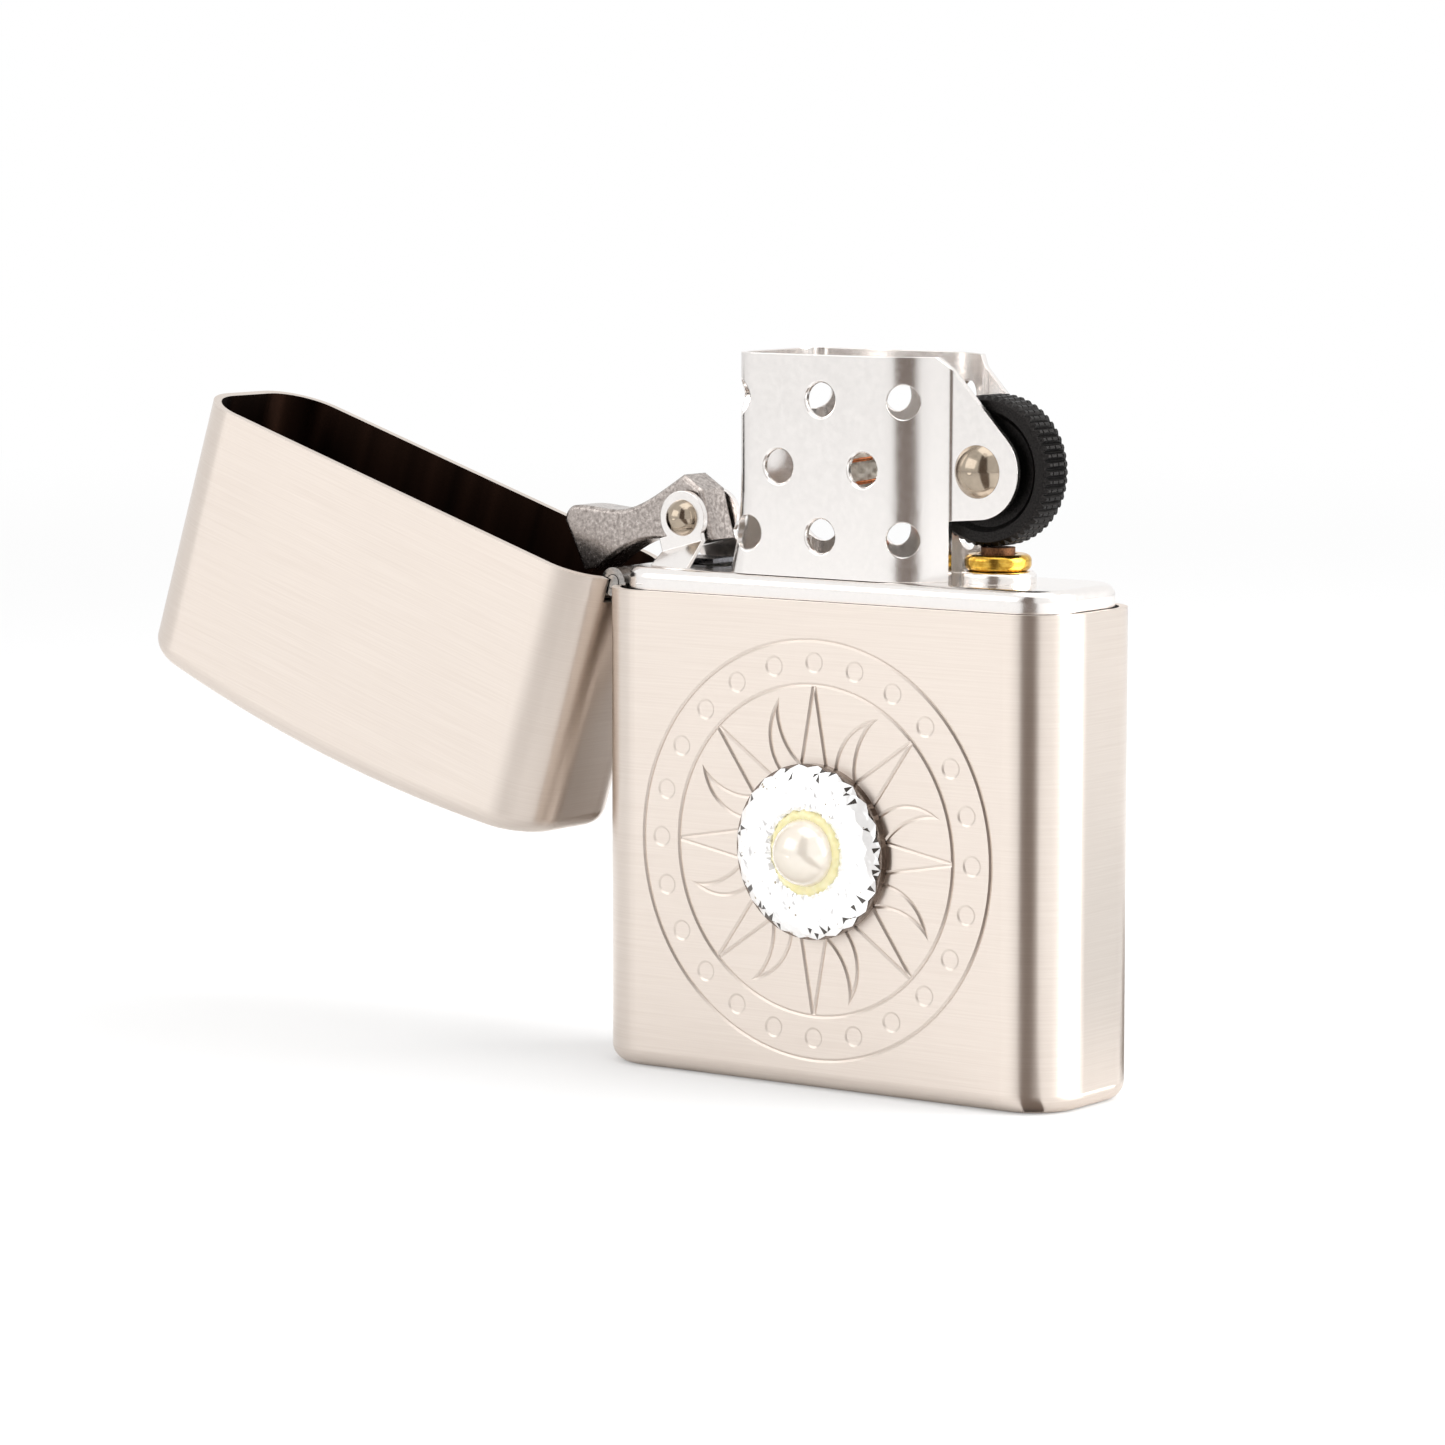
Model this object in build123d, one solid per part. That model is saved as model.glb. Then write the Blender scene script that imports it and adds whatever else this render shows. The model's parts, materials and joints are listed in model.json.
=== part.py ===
"""Flip-top windproof petrol lighter, built piece by piece the way the real one is put together.

Frame: +X runs from the hinge side to the striker-wheel side, -Y is the decorated front
face and +Z is up. The origin is the centre of the flat underside of the case.
The lid is modelled at its open stop. All sizes are in millimetres, angles in degrees.
"""
from build123d import *
from math import atan2, cos, pi, radians, sin, tan
import os

os.makedirs("parts", exist_ok=True)

# --- Driving dimensions -----------------------------------------------------------------

# How far a cutter runs past what it cuts, and how exactly an edge is looked up by place.
CUT_OVERRUN = 1.0
PLACE_TOLERANCE = 0.001

# Case and lid, pressed from one thickness of sheet.
CASE_WIDTH = 39.9
CASE_DEPTH = 12.5
CASE_HEIGHT = 34.7
CASE_CORNER = 4.2
CASE_WALL = 0.6
BASE_FILLET = 1.3
LID_SIDE_HEIGHT = 20.3
LID_CROWN_RISE = 1.5
LID_CROWN_FILLET = 1.5
LID_GAP = 0.1
OPEN_ANGLE = 162.0

# Hinge between case and lid.
HINGE_PIN_RADIUS = 0.5
KNUCKLE_RADIUS = 1.05
KNUCKLE_COUNT = 5
KNUCKLE_GAP = 0.06
HINGE_LENGTH = 6.6
HINGE_STANDOFF = 0.05
HINGE_LIFT = 0.2
LEAF_THICKNESS = 0.5
LEAF_HEIGHT = 7.5
LEAF_BAND = 0.45
NOTCH_CLEARANCE = 0.1

# Insert: the chrome can that holds the fuel packing.
INSERT_SIDE_CLEARANCE = 0.2
INSERT_END_CLEARANCE = 0.3
INSERT_RISE = 1.6
INSERT_WALL = 0.5
INSERT_EDGE_FILLET = 0.8

# Windscreen (chimney) round the wick.
SCREEN_FROM_CAM = 6.3
SCREEN_SETBACK = 0.45
SCREEN_NECK_START = 6.2
SCREEN_NECK_END = 8.9
SCREEN_WALL = 0.4
SCREEN_RISE = 17.3
SCREEN_CORNER = 2.0
SCREEN_SHOULDER_BEND = 5.5
SCREEN_NECK_BEND = 0.7
SCREEN_FLARE = 0.95
SCREEN_FLARE_HEIGHT = 6.8
SCREEN_FLARE_MIDDLE = (3.06, 0.285)
SCREEN_SIDE_EDGE = 8.75
SCREEN_TOP_EDGE = 8.1
VENT_RADIUS = 1.22
VENT_RISES = (14.15, 9.35, 4.55)
VENT_MIDDLE = -0.42
VENT_PITCH = 7.2
VENT_FROM_LEFT = 1.4
VENT_FROM_NECK = (0.1, 0.47)
VENT_RIM = 0.12
VENT_CORNER_TURN = 45
VENT_NECK_TURN = 24

# Striker wheel and the rivet that it turns on.
WHEEL_X = 11.0
WHEEL_RADIUS = 5.3
WHEEL_HALF_WIDTH = 1.45
WHEEL_EDGE = 0.35
WHEEL_ABOVE_TUBE = 0.5
WHEEL_EAR_GAP = 0.45
WHEEL_TEETH = 54
TOOTH_DEPTH = 0.3
TOOTH_LAND = 0.08
TREAD_GROOVES = 3
WHEEL_DISH_RADIUS = 4.25
WHEEL_DISH_DEPTH = 0.35
WHEEL_HUB_RADIUS = 2.1
WHEEL_RIVET_RADIUS = 1.0
WHEEL_RIVET_HEAD_RADIUS = 1.87
WHEEL_RIVET_HEAD_HEIGHT = 0.98
EAR_RADIUS = 3.35
EAR_LOWER_RISE = 5.8

# Flint column.
FLINT_X = 11.3
FLINT_RADIUS = 1.2
FLINT_LENGTH = 4.6
FLINT_PLAY = 0.15
TUBE_WALL = 0.4
TUBE_FLANGE_WIDTH = 0.6
TUBE_FLANGE_HEIGHT = 1.2
COLLAR_STEP = 0.35
COLLAR_HEIGHT = 0.8
PLUNGER_HEAD_LENGTH = 1.3
PLUNGER_NOSE_LENGTH = 1.3
SPRING_WIRE_RADIUS = 0.18
SPRING_TUBE_GAP = 0.22
SPRING_PITCH = 1.6
SCREW_HEAD_STEP = 0.85
SCREW_HEAD_HEIGHT = 1.2
SCREW_SHANK_LENGTH = 3.5
SCREW_SLOT_WIDTH = 0.8

# Cam that snaps the lid open and shut.
CAM_FROM_HINGE = 5.5
CAM_PIVOT_RISE = 5.05
CAM_HALF_WIDTH = 1.5
CAM_BEVEL = 0.22
CAM_EAR_GAP = 0.3
CAM_EAR_THICKNESS = 0.45
CAM_EAR_RADIUS = 1.95
CAM_EAR_LEG_WIDTH = 3.7
CAM_EAR_LEG_DROP = 2.05
CAM_EAR_LEG_TILT = 15.0
CAM_EAR_LEG_FOOT = 1.2
CAM_RIVET_RADIUS = 0.8
CAM_RIVET_HEAD_RADIUS = 1.33
CAM_RIVET_HEAD_HEIGHT = 1.05
CAM_SPRING_THICKNESS = 0.35
CAM_SPRING_HALF_WIDTH = 1.3
CAM_SPRING_DROP = 12.0
CAM_SPRING_LIFT = 0.15
CAM_SPRING_REACH = 5.6
CAM_SPRING_BEND = 0.9
CAM_SPRING_TAIL = 1.6
SPRING_RIVET_HEAD_HEIGHT = 0.35

# Fuel packing.
WICK_RADIUS = 1.4
WICK_RISE = 10.5
WICK_BEND = 3.0
WICK_WIRE_RADIUS = 0.14
WICK_WIRE_TURNS = 4
WICK_WIRE_INSETS = (2.0, 0.4)
UPPER_RUN_DROP = 12.9
LOWER_RUN_RISE = 7.6
PAD_ROUNDING = 1.1
FELT_THICKNESS = 3.0
SOFT_CLEARANCE = 0.3

# Jewelled medallion on the front face.
MEDALLION_DROP = 0.25
CUP_RADIUS = 6.25
CUP_HEIGHT = 0.62
CUP_RIM = 0.25
CUP_RECESS = 0.25
STONE_HEIGHT = 0.68
STONE_GIRDLE = 0.05
STONE_TABLE_INSET = 0.9
STONE_GIRDLE_INSET = 0.0
STONE_FACETS = 24
PEARL_RADIUS = 2.45
PEARL_LIFT = 0.18
GLUE_WIDTH = 0.6
GLUE_HEIGHT = 0.5

# Engraved sun with its border of dots.
ENGRAVING_DEPTH = 0.09
GROOVE_WIDTH = 0.32
DOT_DEPTH = 0.06
OUTER_RING_RADIUS = 14.93
INNER_RING_RADIUS = 11.79
DOT_RING_RADIUS = 13.36
DOT_RADIUS = 0.76
DOT_COUNT = 24
RAY_COUNT = 8
RAY_ROOT_OVERLAP = 0.6
RAY_ROOT_HALF_WIDTH = 1.3
RAY_TIP_HALF_WIDTH = 0.2
FLAME_TIP = (1.35, 11.1)
FLAME_FOOT = (-0.45, 1.75)
FLAME_BULGE = (-0.45, 9.2)
FLAME_HOLLOW = (0.72, 8.7)

# Fits.
RUNNING_FIT = 0.05
RIVET_FIT = 0.03
SIDE_PLAY = 0.12

# --- Places that follow from the dimensions -----------------------------------------------

RIM = CASE_HEIGHT
FRONT = -CASE_DEPTH / 2
CASE_LEFT = -CASE_WIDTH / 2
INNER_HALF_DEPTH = CASE_DEPTH / 2 - CASE_WALL
HINGE_X = CASE_LEFT - HINGE_STANDOFF
HINGE_Z = RIM + HINGE_LIFT
LEAF_LEFT = CASE_LEFT + CASE_WALL
LEAF_RIGHT = LEAF_LEFT + LEAF_THICKNESS
LEAF_HALF_WIDTH = CASE_DEPTH / 2 - CASE_CORNER
NOTCH_REACH = KNUCKLE_RADIUS + 2 * NOTCH_CLEARANCE + LEAF_BAND
INSERT_LEFT = LEAF_RIGHT + INSERT_END_CLEARANCE
INSERT_RIGHT = CASE_WIDTH / 2 - CASE_WALL - INSERT_END_CLEARANCE
INSERT_HALF_DEPTH = INNER_HALF_DEPTH - INSERT_SIDE_CLEARANCE
INSERT_BOTTOM = BASE_FILLET
INSERT_TOP = RIM + INSERT_RISE
INSERT_CEILING = INSERT_TOP - INSERT_WALL
INSERT_CORNER = CASE_CORNER - CASE_WALL - INSERT_SIDE_CLEARANCE
PLATE_CUT = (INSERT_CEILING - CUT_OVERRUN, INSERT_TOP + CUT_OVERRUN)
SPRING_LEFT = INSERT_LEFT + INSERT_WALL + RUNNING_FIT
SPRING_TIP = SPRING_LEFT + CAM_SPRING_REACH
SPRING_RIVET_Z = RIM - CAM_SPRING_DROP
CAM_PIVOT_X = HINGE_X + CAM_FROM_HINGE
CAM_PIVOT_Z = RIM + CAM_PIVOT_RISE
CAM_EAR_INNER = CAM_HALF_WIDTH + CAM_EAR_GAP
CAM_EAR_OUTER = CAM_EAR_INNER + CAM_EAR_THICKNESS
SCREEN_LEFT = CAM_PIVOT_X + SCREEN_FROM_CAM
SCREEN_FRONT = INSERT_HALF_DEPTH - SCREEN_SETBACK
SCREEN_TOP = RIM + SCREEN_RISE
EAR_INNER = WHEEL_HALF_WIDTH + WHEEL_EAR_GAP
EAR_OUTER = EAR_INNER + SCREEN_WALL
TUBE_INNER_RADIUS = FLINT_RADIUS + FLINT_PLAY
TUBE_OUTER_RADIUS = TUBE_INNER_RADIUS + TUBE_WALL
TUBE_FLANGE_RADIUS = TUBE_OUTER_RADIUS + TUBE_FLANGE_WIDTH
COLLAR_RADIUS = TUBE_FLANGE_RADIUS + COLLAR_STEP
SPRING_RADIUS = TUBE_INNER_RADIUS - SPRING_TUBE_GAP - SPRING_WIRE_RADIUS
SCREW_HEAD_RADIUS = TUBE_OUTER_RADIUS + SCREW_HEAD_STEP
TUBE_TOP = INSERT_TOP + COLLAR_HEIGHT + TUBE_FLANGE_HEIGHT
WHEEL_Z = TUBE_TOP + WHEEL_ABOVE_TUBE + WHEEL_RADIUS
SCREW_BOTTOM = INSERT_BOTTOM + RUNNING_FIT
TUBE_BOTTOM = SCREW_BOTTOM + SCREW_HEAD_HEIGHT
FLINT_TOP = WHEEL_Z - WHEEL_RADIUS - RUNNING_FIT
PLUNGER_TOP = FLINT_TOP - FLINT_LENGTH
PLUNGER_SHOULDER = PLUNGER_TOP - PLUNGER_HEAD_LENGTH
WICK_TOP = RIM + WICK_RISE
FELT_BOTTOM = TUBE_BOTTOM
FELT_TOP = FELT_BOTTOM + FELT_THICKNESS
PACKING_LEFT = SPRING_LEFT + CAM_SPRING_THICKNESS + SPRING_RIVET_HEAD_HEIGHT + SOFT_CLEARANCE
PACKING_RIGHT = FLINT_X - TUBE_OUTER_RADIUS - SOFT_CLEARANCE
UPPER_RUN = INSERT_CEILING - UPPER_RUN_DROP
LOWER_RUN = FELT_TOP + LOWER_RUN_RISE
PIT_RADIUS = PEARL_RADIUS + GLUE_WIDTH
PEARL_CENTRE = CUP_HEIGHT + PEARL_LIFT

WHEEL_CENTRE = Vector(WHEEL_X, 0, WHEEL_Z)
MEDALLION_CENTRE = Vector(0, FRONT, CASE_HEIGHT / 2 - MEDALLION_DROP)
HINGE_AXIS = Axis((HINGE_X, 0, HINGE_Z), (0, -1, 0))


# --- Small helpers --------------------------------------------------------------------------

def side_plane(y=0.0):
    """Plane seen from the front: local x is world X, local y is world Z, outward is -Y."""
    return Plane(origin=(0, y, 0), x_dir=(1, 0, 0), z_dir=(0, -1, 0))


def across(sketch, half_width):
    """Extrude a front-view outline equally to both sides of the middle plane."""
    return extrude(side_plane() * sketch, half_width, both=True)


def box_between(x_range, y_range, z_range):
    """Box given by its two limits along each axis."""
    size = [high - low for low, high in (x_range, y_range, z_range)]
    middle = [(high + low) / 2 for low, high in (x_range, y_range, z_range)]
    return Pos(*middle) * Box(*size)


def rod_along_y(x, z, radius, y_low, y_high):
    """Round bar that lies along Y between two depths."""
    return Pos(x, (y_low + y_high) / 2, z) * Rot(90, 0, 0) * Cylinder(radius, y_high - y_low)


def rod_along_z(x, y, radius, z_low, z_high):
    """Upright round bar between two heights."""
    return Pos(x, y, (z_low + z_high) / 2) * Cylinder(radius, z_high - z_low)


def dome(radius, height):
    """Spherical cap that stands on the XY plane."""
    sphere_radius = (radius ** 2 + height ** 2) / (2 * height)
    cap = Pos(0, 0, height - sphere_radius) * Sphere(sphere_radius)
    return cap & Pos(0, 0, height / 2) * Box(4 * radius, 4 * radius, height)


def rivet_along_y(x, z, shank_radius, head_radius, head_height, half_grip):
    """Shank through two ears with a domed head on each outer face."""
    rivet = rod_along_y(x, z, shank_radius, -half_grip, half_grip)
    for turn, y in ((90, -half_grip), (-90, half_grip)):
        rivet += Pos(x, y, z) * Rot(turn, 0, 0) * dome(head_radius, head_height)
    return rivet


def rounded_footprint(half_width, half_depth, corner, centre_x=0.0):
    """Plan outline of the case, the lid or the insert."""
    return Pos(centre_x, 0) * RectangleRounded(2 * half_width, 2 * half_depth, corner)


def edges_at_height(shape, z):
    """Edges that lie wholly in one level plane."""
    return shape.edges().filter_by_position(Axis.Z, z - PLACE_TOLERANCE, z + PLACE_TOLERANCE)


def on_face(shape, height=0.0):
    """Turn a shape built on the XY plane out of the front face at the medallion."""
    return Pos(MEDALLION_CENTRE) * Rot(90, 0, 0) * Pos(0, 0, height) * shape


def save(name, shape):
    """Write one named piece."""
    export_step(shape, f"parts/{name}.step")


# --- Case -----------------------------------------------------------------------------------

def straight_ray():
    """One pointed sun ray, drawn pointing up from the centre of the motif."""
    root = (RAY_ROOT_HALF_WIDTH, CUP_RADIUS - RAY_ROOT_OVERLAP)
    tip = (RAY_TIP_HALF_WIDTH, INNER_RING_RADIUS)
    return make_face(Polyline(root, tip, (-tip[0], tip[1]), (-root[0], root[1]), close=True))


def flame_ray():
    """One curling flame, drawn pointing up and licking over to the right."""
    foot_height = CUP_RADIUS - RAY_ROOT_OVERLAP
    foot_left, foot_right = ((x, foot_height) for x in FLAME_FOOT)
    outer = ThreePointArc(foot_left, FLAME_BULGE, FLAME_TIP)
    inner = ThreePointArc(FLAME_TIP, FLAME_HOLLOW, foot_right)
    base = Line(foot_right, foot_left)
    return make_face([outer, inner, base])


def ring_groove(radius):
    """V-shaped circular line of the engraver's width."""
    section = Polyline((radius - GROOVE_WIDTH / 2, 0), (radius, -ENGRAVING_DEPTH),
                       (radius + GROOVE_WIDTH / 2, 0), close=True)
    return revolve(Plane.XZ * make_face(section), Axis.Z)


def outline_groove(face):
    """V-shaped line that follows the inside of a closed shape."""
    bottom = Pos(0, 0, -ENGRAVING_DEPTH) * offset(face, -GROOVE_WIDTH / 2, kind=Kind.INTERSECTION)
    inner = offset(face, -GROOVE_WIDTH, kind=Kind.INTERSECTION)
    outer_slope = loft([bottom.face(), face], ruled=True)
    inner_slope = loft([bottom.face(), inner.face()], ruled=True)
    return outer_slope - inner_slope


def dot():
    """Shallow round recess with a sloping edge."""
    return Pos(0, 0, -DOT_DEPTH / 2) * Cone(DOT_RADIUS - GROOVE_WIDTH / 2, DOT_RADIUS, DOT_DEPTH)


def engraving():
    """The whole motif as cutters that reach in from the front face."""
    cutters = [ring_groove(OUTER_RING_RADIUS), ring_groove(INNER_RING_RADIUS)]
    for index in range(DOT_COUNT):
        cutters.append(Rot(0, 0, index * 360 / DOT_COUNT) * Pos(0, DOT_RING_RADIUS) * dot())
    ray = outline_groove(straight_ray())
    flame = outline_groove(flame_ray())
    for index in range(RAY_COUNT):
        cutters.append(Rot(0, 0, -index * 360 / RAY_COUNT) * ray)
        cutters.append(Rot(0, 0, -(index + 0.5) * 360 / RAY_COUNT) * flame)
    return [on_face(cutter) for cutter in cutters]


def knuckle_notch():
    """Slot through the hinge-side walls that lets the rolled knuckles turn."""
    half_length = HINGE_LENGTH / 2 + NOTCH_CLEARANCE
    return box_between((HINGE_X - NOTCH_REACH, LEAF_RIGHT), (-half_length, half_length),
                       (HINGE_Z - NOTCH_REACH, HINGE_Z + NOTCH_REACH))


def case_shell():
    """Deep-drawn lower case with its engraved front."""
    outer = extrude(rounded_footprint(CASE_WIDTH / 2, CASE_DEPTH / 2, CASE_CORNER), CASE_HEIGHT)
    outer = fillet(edges_at_height(outer, 0), BASE_FILLET)
    cavity = extrude(rounded_footprint(CASE_WIDTH / 2 - CASE_WALL, INNER_HALF_DEPTH,
                                       CASE_CORNER - CASE_WALL), CASE_HEIGHT)
    cavity = fillet(edges_at_height(cavity, 0), BASE_FILLET - CASE_WALL)
    return outer - Pos(0, 0, CASE_WALL) * cavity - knuckle_notch() - engraving()


# --- Hinge ----------------------------------------------------------------------------------

def knuckle_spans(first):
    """Y limits of every other knuckle, starting with the first or the second."""
    pitch = HINGE_LENGTH / KNUCKLE_COUNT
    for index in range(first, KNUCKLE_COUNT, 2):
        start = -HINGE_LENGTH / 2 + index * pitch
        yield start + KNUCKLE_GAP / 2, start + pitch - KNUCKLE_GAP / 2


def hinge_leaf(first, upward):
    """Flat leaf with its rolled knuckles, for the case (downward) or the shut lid (upward)."""
    half_length = HINGE_LENGTH / 2
    band_near = HINGE_Z + upward * (KNUCKLE_RADIUS + NOTCH_CLEARANCE)
    band_far = band_near + upward * LEAF_BAND
    plate_far = HINGE_Z + upward * (KNUCKLE_RADIUS + LEAF_HEIGHT)
    x_range = (LEAF_LEFT, LEAF_RIGHT)
    leaf = box_between(x_range, (-LEAF_HALF_WIDTH, LEAF_HALF_WIDTH),
                       sorted((band_near, plate_far)))
    leaf += box_between(x_range, (-half_length, half_length), sorted((band_near, band_far)))
    for y_range in knuckle_spans(first):
        leaf += box_between(x_range, y_range, sorted((HINGE_Z, band_near)))
        leaf += rod_along_y(HINGE_X, HINGE_Z, KNUCKLE_RADIUS, *y_range)
    bore = HINGE_PIN_RADIUS + RUNNING_FIT
    return leaf - rod_along_y(HINGE_X, HINGE_Z, bore, -HINGE_LENGTH, HINGE_LENGTH)


def hinge_pin():
    """Plain pin as long as the row of knuckles."""
    half_length = HINGE_LENGTH / 2
    return rod_along_y(HINGE_X, HINGE_Z, HINGE_PIN_RADIUS, -half_length, half_length)


# --- Lid ------------------------------------------------------------------------------------

def crown_profile(half_width, side_height, inset):
    """Front view of the lid or of its hollow: straight sides under a shallow arc."""
    top = side_height - inset
    crown = side_height + LID_CROWN_RISE - inset
    arc = ThreePointArc((half_width, top), (0, crown), (-half_width, top))
    sides = Polyline((-half_width, top), (-half_width, 0), (half_width, 0), (half_width, top))
    return make_face([arc, sides])


def crowned_block(inset):
    """Solid lid shape, or the hollow inside it when inset by the sheet thickness."""
    half_width = CASE_WIDTH / 2 - inset
    half_depth = CASE_DEPTH / 2 - inset
    height = LID_SIDE_HEIGHT + LID_CROWN_RISE
    block = extrude(rounded_footprint(half_width, half_depth, CASE_CORNER - inset), height)
    block &= across(crown_profile(half_width, LID_SIDE_HEIGHT, inset), half_depth)
    crown_edges = block.edges().filter_by_position(Axis.Z, LID_SIDE_HEIGHT - inset - PLACE_TOLERANCE,
                                                 height)
    return fillet(crown_edges, LID_CROWN_FILLET - inset)


def shut_lid():
    """Lid shell as it sits on the case."""
    seat = RIM + LID_GAP
    shell = Pos(0, 0, seat) * (crowned_block(0) - crowned_block(CASE_WALL))
    return shell - knuckle_notch()


# --- Insert ---------------------------------------------------------------------------------

def cam_ear(side):
    """Ring round the cam rivet on a leg that splays out to the front edge of the can."""
    ring = Pos(CAM_PIVOT_X, CAM_PIVOT_Z) * Circle(CAM_EAR_RADIUS)
    ear = extrude(side_plane(side * CAM_EAR_INNER) * ring, -side * CAM_EAR_THICKNESS)
    section = Rectangle(CAM_EAR_LEG_WIDTH, CAM_EAR_THICKNESS)
    middle = side * (CAM_EAR_INNER + CAM_EAR_THICKNESS / 2)
    knee = Pos(CAM_PIVOT_X, middle, CAM_PIVOT_Z - CAM_EAR_LEG_DROP) * Rot(0, -CAM_EAR_LEG_TILT, 0)
    foot_y = side * (INSERT_HALF_DEPTH - INSERT_WALL / 2)
    foot = Pos(CAM_PIVOT_X, foot_y, INSERT_TOP - CAM_EAR_LEG_FOOT)
    leg = loft([(foot * section).face(), (knee * section).face()])
    shin = extrude((knee * section).face(), CAM_EAR_RADIUS / 2)
    return ear + leg + shin


def insert_can():
    """Open-bottomed chrome can with the cam ears bent up from its top plate."""
    half_width = (INSERT_RIGHT - INSERT_LEFT) / 2
    middle = (INSERT_RIGHT + INSERT_LEFT) / 2
    outer = Pos(0, 0, INSERT_BOTTOM) * extrude(
        rounded_footprint(half_width, INSERT_HALF_DEPTH, INSERT_CORNER, middle),
        INSERT_TOP - INSERT_BOTTOM)
    outer = fillet(edges_at_height(outer, INSERT_TOP), INSERT_EDGE_FILLET)
    cavity = Pos(0, 0, INSERT_BOTTOM) * extrude(
        rounded_footprint(half_width - INSERT_WALL, INSERT_HALF_DEPTH - INSERT_WALL,
                          INSERT_CORNER - INSERT_WALL, middle),
        INSERT_CEILING - INSERT_BOTTOM)
    can = outer - cavity
    for side in (-1, 1):
        can += cam_ear(side)
    can -= rod_along_z(0, 0, WICK_RADIUS + SOFT_CLEARANCE, *PLATE_CUT)
    can -= rod_along_z(FLINT_X, 0, TUBE_OUTER_RADIUS + RIVET_FIT, *PLATE_CUT)
    can -= rod_along_y(CAM_PIVOT_X, CAM_PIVOT_Z, CAM_RIVET_RADIUS + RIVET_FIT,
                       -CASE_DEPTH, CASE_DEPTH)
    return can - spring_slot() - spring_rivet_bore()


def spring_slot():
    """Opening in the top plate through which the cam spring bears on the cam."""
    half_width = CAM_SPRING_HALF_WIDTH + SIDE_PLAY
    return box_between((INSERT_LEFT + INSERT_WALL, SPRING_TIP + SIDE_PLAY + CAM_SPRING_BEND),
                       (-half_width, half_width), PLATE_CUT)


# --- Cam and its spring -----------------------------------------------------------------------

def cam_spring():
    """Bent leaf spring: up the end wall, over, and under the cam."""
    centre = CAM_SPRING_THICKNESS / 2
    top = INSERT_TOP + CAM_SPRING_LIFT + centre
    path = FilletPolyline((SPRING_LEFT + centre, SPRING_RIVET_Z - CAM_SPRING_TAIL),
                          (SPRING_LEFT + centre, top), (SPRING_TIP, top),
                          radius=CAM_SPRING_BEND)
    strip = trace(path, CAM_SPRING_THICKNESS)
    leaf = across(strip, CAM_SPRING_HALF_WIDTH)
    return leaf - spring_rivet_bore()


def spring_rivet_bore():
    """Hole for the spring rivet through the spring and the end wall."""
    return spring_rivet_bar(CAM_RIVET_RADIUS + RIVET_FIT, INSERT_LEFT - CUT_OVERRUN,
                            SPRING_LEFT + CAM_SPRING_THICKNESS + CUT_OVERRUN)


def spring_rivet_bar(radius, x_low, x_high):
    """Round bar along X at the height of the spring rivet."""
    return (Pos((x_low + x_high) / 2, 0, SPRING_RIVET_Z) * Rot(0, 90, 0)
            * Cylinder(radius, x_high - x_low))


def cam_spring_rivet():
    """Flat-headed rivet that holds the cam spring to the end wall of the can."""
    outer_face = INSERT_LEFT
    inner_face = SPRING_LEFT + CAM_SPRING_THICKNESS
    head = SPRING_RIVET_HEAD_HEIGHT
    rivet = spring_rivet_bar(CAM_RIVET_RADIUS, outer_face, inner_face)
    rivet += spring_rivet_bar(CAM_RIVET_HEAD_RADIUS, outer_face - head, outer_face)
    return rivet + spring_rivet_bar(CAM_RIVET_HEAD_RADIUS, inner_face, inner_face + head)


def cam():
    """Hardened cam plate: a toe that pushes the lid and a square heel over the spring."""
    toe_tip = (-11.3, -0.8)
    toe_bottom = (-9.5, -4.5)
    toe_shoulder = (-10.5, 0.4)
    saddle = (-6.4, 0.25)
    heel_top = (-0.5, 3.05)
    heel_back = (1.15, 2.0)
    heel_low = (2.1, -1.55)
    belly = (-0.2, -2.1)
    outline = [
        Spline(toe_shoulder, saddle, heel_top, tangents=((1, 0.1), (1, 0.62))),
        Polyline(heel_top, heel_back, heel_low, belly),
        Spline(belly, (-4.2, -1.9), (-7.4, -3.6), toe_bottom, tangents=((-1, 0.3), (-1, -0.1))),
        Line(toe_bottom, toe_tip),
        Spline(toe_tip, toe_shoulder, tangents=((-0.1, 1), (1, 0.3))),
    ]
    plate = across(Pos(CAM_PIVOT_X, CAM_PIVOT_Z) * make_face(outline), CAM_HALF_WIDTH)
    bore = rod_along_y(CAM_PIVOT_X, CAM_PIVOT_Z, CAM_RIVET_RADIUS + RUNNING_FIT,
                       -CASE_DEPTH, CASE_DEPTH)
    faces = plate.faces().filter_by(Axis.Y)
    return chamfer(faces.edges(), CAM_BEVEL) - bore


def cam_rivet():
    """Domed rivet on which the cam rocks."""
    return rivet_along_y(CAM_PIVOT_X, CAM_PIVOT_Z, CAM_RIVET_RADIUS, CAM_RIVET_HEAD_RADIUS,
                         CAM_RIVET_HEAD_HEIGHT, CAM_EAR_OUTER)


# --- Windscreen -------------------------------------------------------------------------------

def screen_plan(flare, inset):
    """Plan outline of the windscreen at one level, its left end moved out by the flare."""
    left = SCREEN_LEFT - flare + inset
    front = SCREEN_FRONT - inset
    ear = EAR_OUTER - inset
    far = WHEEL_X + 2 * EAR_RADIUS
    neck_turn = atan2(SCREEN_FRONT - EAR_OUTER, SCREEN_NECK_END - SCREEN_NECK_START)
    neck_shift = inset * tan(neck_turn / 2)
    start = SCREEN_NECK_START - neck_shift
    end = SCREEN_NECK_END - neck_shift
    half = FilletPolyline((left, 0), (left, front), (start, front), (end, ear), (far, ear),
                          radius=[SCREEN_CORNER - inset, SCREEN_SHOULDER_BEND - inset,
                                  SCREEN_NECK_BEND + inset])
    closing = Polyline((far, ear), (far, 0), (left, 0))
    half_face = make_face(half.edges() + closing.edges())
    return half_face + mirror(half_face, Plane.XZ)


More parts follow.
